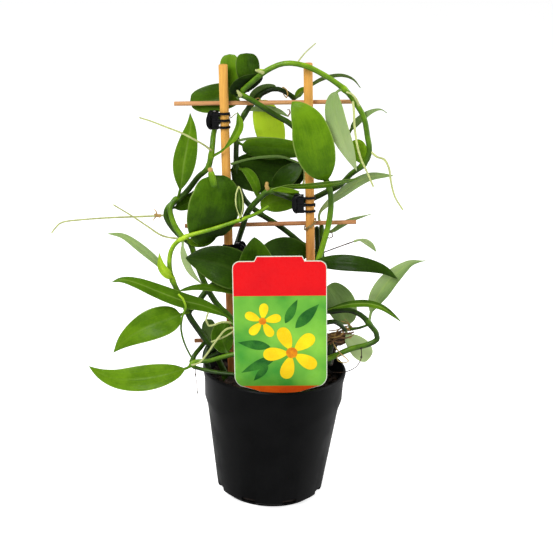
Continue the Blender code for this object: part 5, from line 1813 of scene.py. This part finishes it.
    def build_jaw(self, end: End, pin: Matrix, finish: Material) -> Object:
        """Build one jaw: finger pad, plate over the pin, two ears round it and claws round the stake.

        Args:
            end: Which jaw it is.
            pin: The frame of the pin.
            finish: Its material.

        Returns:
            The jaw's object.
        """
        claw = self.rack.stake_radius + self.claw_gap + self.wall / 2
        plate_y = self.ear_radius + self.gap + self.wall / 2
        angles = [math.radians(self.claw_start + self.claw_turn * number / 12) for number in range(13)]
        rib = plate_y + self.claw_root
        bent = [(-self.shoulder / 2, rib), (self.shoulder / 4, rib), (self.shoulder, rib)]
        bent += [(-self.pin_x - claw * math.cos(angle), claw * math.sin(angle)) for angle in angles]
        body = self.pad(end, plate_y, finish)
        others = []
        for level in self.claw_levels[end]:
            low, high = level - self.claw_width / 2, level + self.claw_width / 2
            strip = self.strip(bent, end.value, self.claw_thick, low, high, self.claw_edge)
            others.append(strip.piece("claw"))
        for level in self.ear_levels[end]:
            others.append(self.ear(level))
            web = Solid()
            middle = end.value * (plate_y + self.ear_radius - self.web_sink) / 2
            size = (self.ear_radius, plate_y - self.ear_radius + self.web_sink, 0.9 * self.ear_width)
            place = moved(0, middle, level) @ Matrix.Diagonal((*size, 1))
            bmesh.ops.create_cube(web.shape, size=1, matrix=place)
            others.append(web.piece("web"))
        carve(body, others, "UNION")
        body.data.transform(pin)
        shade(body.data)
        return body

    def build(self, plastic: Material, steel: Material) -> None:
        """Build both jaws, the pin and its spring.

        Args:
            plastic: The jaws' material.
            steel: The pin's and the spring's material.
        """
        across = self.rack.side(self.site.stake) + self.pin_x * self.site.hand
        pin = self.rack.place(across, self.site.height)
        front = self.build_jaw(End.FRONT, pin, plastic)
        hand_over(front, Slot.CLIP, [f"clip_{self.name}_front_jaw"], self.site.body)
        rear = self.build_jaw(End.REAR, pin, plastic)
        hand_over(rear, Slot.CLIP, [f"clip_{self.name}_rear_jaw"])
        half, radius, edge = self.height / 2 + self.gap, self.pin_radius, self.fine_edge
        solid = Solid()
        solid.lathe([(0, -half), (radius - edge, -half), (radius, edge - half), (radius, half - edge),
                     (radius - edge, half), (0, half)], 24, pin)
        hand_over(solid.piece(f"clip_{self.name}_steel", steel), Slot.STEEL, [f"clip_{self.name}_pin"])
        self.build_spring(pin, steel)

    def build_spring(self, pin: Matrix, steel: Material) -> None:
        """Wind the spring round the pin, between the rear jaw's ears.

        Args:
            pin: The frame of the pin.
            steel: The spring's material.
        """
        reach = self.pin_radius + self.spring_clear + self.spring_wire
        count = self.spring_turns * self.spring_steps
        points = []
        for number in range(count + 1):
            angle = math.tau * number / self.spring_steps
            rise = -self.spring_half + 2 * self.spring_half * number / count
            points.append(pin @ Vector((reach * math.cos(angle), reach * math.sin(angle), rise)))
        solid = Solid()
        solid.wire(points, self.spring_wire, 8, 0.4 * MM)
        hand_over(solid.piece(f"clip_{self.name}_spring", steel), Slot.STEEL)


CLIP_SITES = {
    "upper": ClipSite("left", 220 * MM, 1, Body.UPPER_JAW),
    "middle": ClipSite("right", 150 * MM, 1, Body.MIDDLE_JAW),
    "lower": ClipSite("left", 111 * MM, -1, Body.LOWER_JAW),
}


@dataclass(frozen=True)
class Motif:
    """A printed blossom: its middle on the label in millimetres, its size and its turn in degrees."""

    x: float
    z: float
    size: float
    turn: float


@dataclass(frozen=True)
class Sprig:
    """A printed leaf: its foot and its tip on the label in millimetres, and its width."""

    foot: Pair
    tip: Pair
    width: float


@dataclass
class Label:
    """The plant label: a glossy sheet with a raised tab and a spike, printed with a plain design."""

    foot: Triple = (5.6 * MM, -41 * MM, 113 * MM)
    lean: float = math.radians(3)
    width: float = 74.6 * MM
    height: float = 102 * MM
    thick: float = 0.9 * MM
    edge: float = 0.2 * MM
    tab: Pair = (36 * MM, 4 * MM)
    corner: float = 6 * MM
    chin: float = 10 * MM
    chin_height: float = 5 * MM
    neck_width: float = 41 * MM
    neck_drop: float = 7 * MM
    spike_top: float = 12 * MM
    spike_width: float = 14 * MM
    spike_depth: float = 48 * MM
    border: float = 0.62 * MM
    header_low: float = 73 * MM
    footer_high: float = -3.4 * MM
    ink: float = 0.05 * MM
    petals: int = 5
    petal_width: float = 0.62
    petal_start: float = 0.15
    petal_ink: float = 0.03 * MM
    petal_lap: float = 0.006 * MM
    disc_size: float = 0.2
    disc_ink: float = 0.08 * MM
    inks: tuple = (
        ("red", (0.78, 0.006, 0.009), (0.68, 0.005, 0.010), 30),
        ("green", (0.035, 0.27, 0.03), (0.24, 0.58, 0.06), 22),
        ("orange", (0.80, 0.13, 0.008), (0.66, 0.075, 0.008), 60),
        ("yellow", (0.95, 0.76, 0.012), (0.92, 0.58, 0.008), 90),
        ("gold", (0.85, 0.34, 0.008), (0.62, 0.16, 0.008), 200),
        ("leaf", (0.012, 0.10, 0.014), (0.04, 0.21, 0.022), 80),
    )
    blossoms: tuple[Motif, ...] = (Motif(-14, 52, 15, 12), Motif(9, 25, 23, 40))
    sprigs: tuple[Sprig, ...] = (
        Sprig((-3, 22), (-32, 8), 8), Sprig((-8, 30), (-34, 34), 8), Sprig((12, 46), (31, 66), 9),
        Sprig((4, 50), (14, 70), 7), Sprig((-10, 14), (-22, 1), 6),
    )

    @property
    def place(self) -> Matrix:
        """The label's frame: X across, Y up, Z towards the reader."""
        return Matrix.Translation(self.foot) @ turned(-self.lean, "Y") @ turned(math.pi / 2, "X")

    @staticmethod
    def arc(centre: Pair, radius: float, start: float, end: float) -> list[Pair]:
        """Find points on an arc, its angles in degrees."""
        x, y = centre
        angles = [math.radians(start + (end - start) * number / 9) for number in range(10)]
        return [(x + radius * math.cos(angle), y + radius * math.sin(angle)) for angle in angles]

    def outline(self, inset: float = 0) -> list[Pair]:
        """Draw the label's outline from the tip of its spike, anticlockwise.

        Args:
            inset: How far inside the sheet's edge it runs.

        Returns:
            The corners in order.
        """
        half, tall, corner = self.width / 2 - inset, self.height - inset, self.corner - inset
        tab, rise, chin = self.tab[0] / 2 - inset * 0.6, self.tab[1], self.chin - inset
        spike = self.spike_width / 2 - inset
        right = [(spike, 2 * spike - self.spike_depth), (spike, -self.spike_top),
                 (self.neck_width / 2 - inset, -self.neck_drop)]
        right += self.arc((half - chin, self.chin_height), chin, -60, 0)
        right += self.arc((half - corner, tall - corner), corner, 0, 90)
        right += [(tab + rise / 2, tall), (tab, tall + rise)]
        return [(0, -self.spike_depth)] + right + [(-x, z) for x, z in reversed(right)]

    def build(self) -> None:
        """Build the sheet, its printed fields and its motifs."""
        sheet, place = Solid(), self.place
        sheet.plate(self.outline(), self.thick, place @ moved(z=-self.thick / 2), self.edge)
        pale = PrintFinish("label_sheet", (0.74, 0.78, 0.66), (0.66, 0.70, 0.56), 25).material()
        hand_over(sheet.piece("label_sheet", pale), Slot.LABEL, ["label"])
        face = place @ moved(z=self.thick / 2)
        red, green, orange, yellow, gold, leafy = (
            PrintFinish(f"print_{name}", *look).material() for name, *look in self.inks)
        fields = Solid()
        self.print_fields(fields, face)
        hand_over(fields.piece("label_fields", red, green, orange), Slot.LABEL)
        motifs = Solid()
        level = self.ink
        for sprig in self.sprigs:
            level += 0.01 * MM
            self.add_sprig(motifs, sprig, face @ moved(z=level))
        for motif in self.blossoms:
            level += 0.05 * MM
            self.add_blossom(motifs, motif, face @ moved(z=level))
        hand_over(motifs.piece("label_motifs", leafy, yellow, gold), Slot.LABEL)

    def print_fields(self, fields: Solid, face: Matrix) -> None:
        """Draw the printed area a border's width inside the outline, in header, field and footer.

        Args:
            fields: The mesh that it goes into.
            face: The frame of the label's face.
        """
        shape = fields.shape
        shape.faces.new([shape.verts.new((x, y, 0)) for x, y in self.outline(self.border)])
        for cut in (self.header_low, self.footer_high):
            geometry = shape.verts[:] + shape.edges[:] + shape.faces[:]
            bmesh.ops.bisect_plane(shape, geom=geometry, plane_co=(0, cut, 0), plane_no=(0, 1, 0),
                                   dist=MERGE_DISTANCE)
        for area in shape.faces:
            height = area.calc_center_median().y
            area.material_index = 0 if height > self.header_low else 2 if height < self.footer_high else 1
        fields.draw_up(shape.faces[:], self.ink)
        bmesh.ops.transform(shape, matrix=face, verts=shape.verts)

    def add_blossom(self, solid: Solid, motif: Motif, face: Matrix) -> None:
        """Add a plain blossom: round petals about a disc.

        Args:
            solid: The mesh that it goes into.
            motif: The blossom.
            face: The frame of the layer that it lies on.
        """
        middle = face @ moved(motif.x * MM, motif.z * MM)
        long, wide, start = motif.size * MM, motif.size * self.petal_width * MM, self.petal_start
        petal = [(start * long + long * (1 - start) * (0.5 - 0.5 * math.cos(angle)),
                  wide / 2 * math.sin(angle) * (0.75 - 0.25 * math.cos(angle)))
                 for angle in (math.tau * number / 28 for number in range(28))]
        for number in range(self.petals):
            turn = turned(math.radians(motif.turn) + math.tau * number / self.petals, "Z")
            solid.plate(petal, self.petal_ink, middle @ moved(z=self.petal_lap * number) @ turn, index=1)
        disc = [(self.disc_size * long * math.cos(angle), self.disc_size * long * math.sin(angle))
                for angle in (math.tau * number / 24 for number in range(24))]
        solid.plate(disc, self.disc_ink, middle, index=2)

    def add_sprig(self, solid: Solid, sprig: Sprig, face: Matrix) -> None:
        """Add a plain pointed leaf.

        Args:
            solid: The mesh that it goes into.
            sprig: The leaf.
            face: The frame of the layer that it lies on.
        """
        foot, tip = Vector(sprig.foot) * MM, Vector(sprig.tip) * MM
        along = tip - foot
        aside = Vector((-along.y, along.x)).normalized() * sprig.width / 2 * MM
        edge = [(foot + along * share, aside * math.sin(math.pi * share ** 0.8))
                for share in (number / 16 for number in range(17))]
        outline = [place + out for place, out in edge] + [place - out for place, out in edge[-2:0:-1]]
        solid.plate(outline, self.petal_ink, face)


@dataclass
class Studio:
    """The pale floor, the soft lights and the world."""

    floor_size: float = 12
    world: float = 0.36
    backdrop: float = 0.97
    lights: tuple = (
        ("key", (-0.7, -1.1, 1.35), 0.8, 24), ("fill", (1.3, -0.9, 0.7), 1.2, 5),
        ("right_edge", (1.3, 0.35, 0.6), 1.0, 13), ("left_edge", (-1.2, 0.7, 0.9), 1.0, 8),
    )
    aim: Triple = (0, 0, 0.2)

    def build(self) -> None:
        """Lay the floor and hang the lights."""
        scene = bpy.context.scene
        scene.view_settings.view_transform = "Standard"
        world = bpy.data.worlds.new("studio")
        scene.world = world
        world.use_nodes = True
        tree = Tree(world.node_tree)
        sky = tree.tree.nodes["Background"]
        tree.feed(sky, {"Color": (1, 1, 1, 1), "Strength": self.world})
        backdrop = tree.add("Background", {"Color": (1, 1, 1, 1), "Strength": self.backdrop})
        seen = tree.add("LightPath").outputs["Is Camera Ray"]
        shown = tree.add("MixShader", {0: seen, 1: sky.outputs[0], 2: backdrop.outputs[0]})
        tree.feed(tree.tree.nodes["World Output"], {"Surface": shown.outputs[0]})
        shape = bmesh.new()
        bmesh.ops.create_grid(shape, x_segments=2, y_segments=2, size=self.floor_size / 2)
        mesh = bpy.data.meshes.new("floor")
        shape.to_mesh(mesh)
        shape.free()
        mesh.materials.append(FloorFinish("pale_floor").material())
        floor = bpy.data.objects.new("floor", mesh)
        scene.collection.objects.link(floor)
        for name, place, size, power in self.lights:
            lamp = bpy.data.lights.new(name, "AREA")
            lamp.size = size
            lamp.energy = power
            holder = bpy.data.objects.new(name, lamp)
            holder.location = place
            holder.rotation_euler = (Vector(self.aim) - Vector(place)).to_track_quat("-Z", "Y").to_euler()
            scene.collection.objects.link(holder)


def main() -> None:
    """Build the camera, the studio and every sub-assembly in order."""
    logging.basicConfig(level=logging.INFO, format="%(message)s")
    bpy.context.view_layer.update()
    VIEW.make_camera()
    Studio().build()
    Pot().build()
    Substrate().build()
    rack = Rack()
    rack.build()
    plastic = PlasticFinish("clip_black", (0.0016, 0.0018, 0.0024), (0.005, 0.006, 0.007), 0.2, dust=0.1,
                            shine=0.14).material()
    steel = SteelFinish("spring_steel", (0.58, 0.58, 0.6), (0.3, 0.28, 0.26)).material()
    for name, site in CLIP_SITES.items():
        Clip(name, site, rack).build(plastic, steel)
    Label().build()
    for vine in VINES:
        vine.build()


if __name__ == "__main__":
    main()
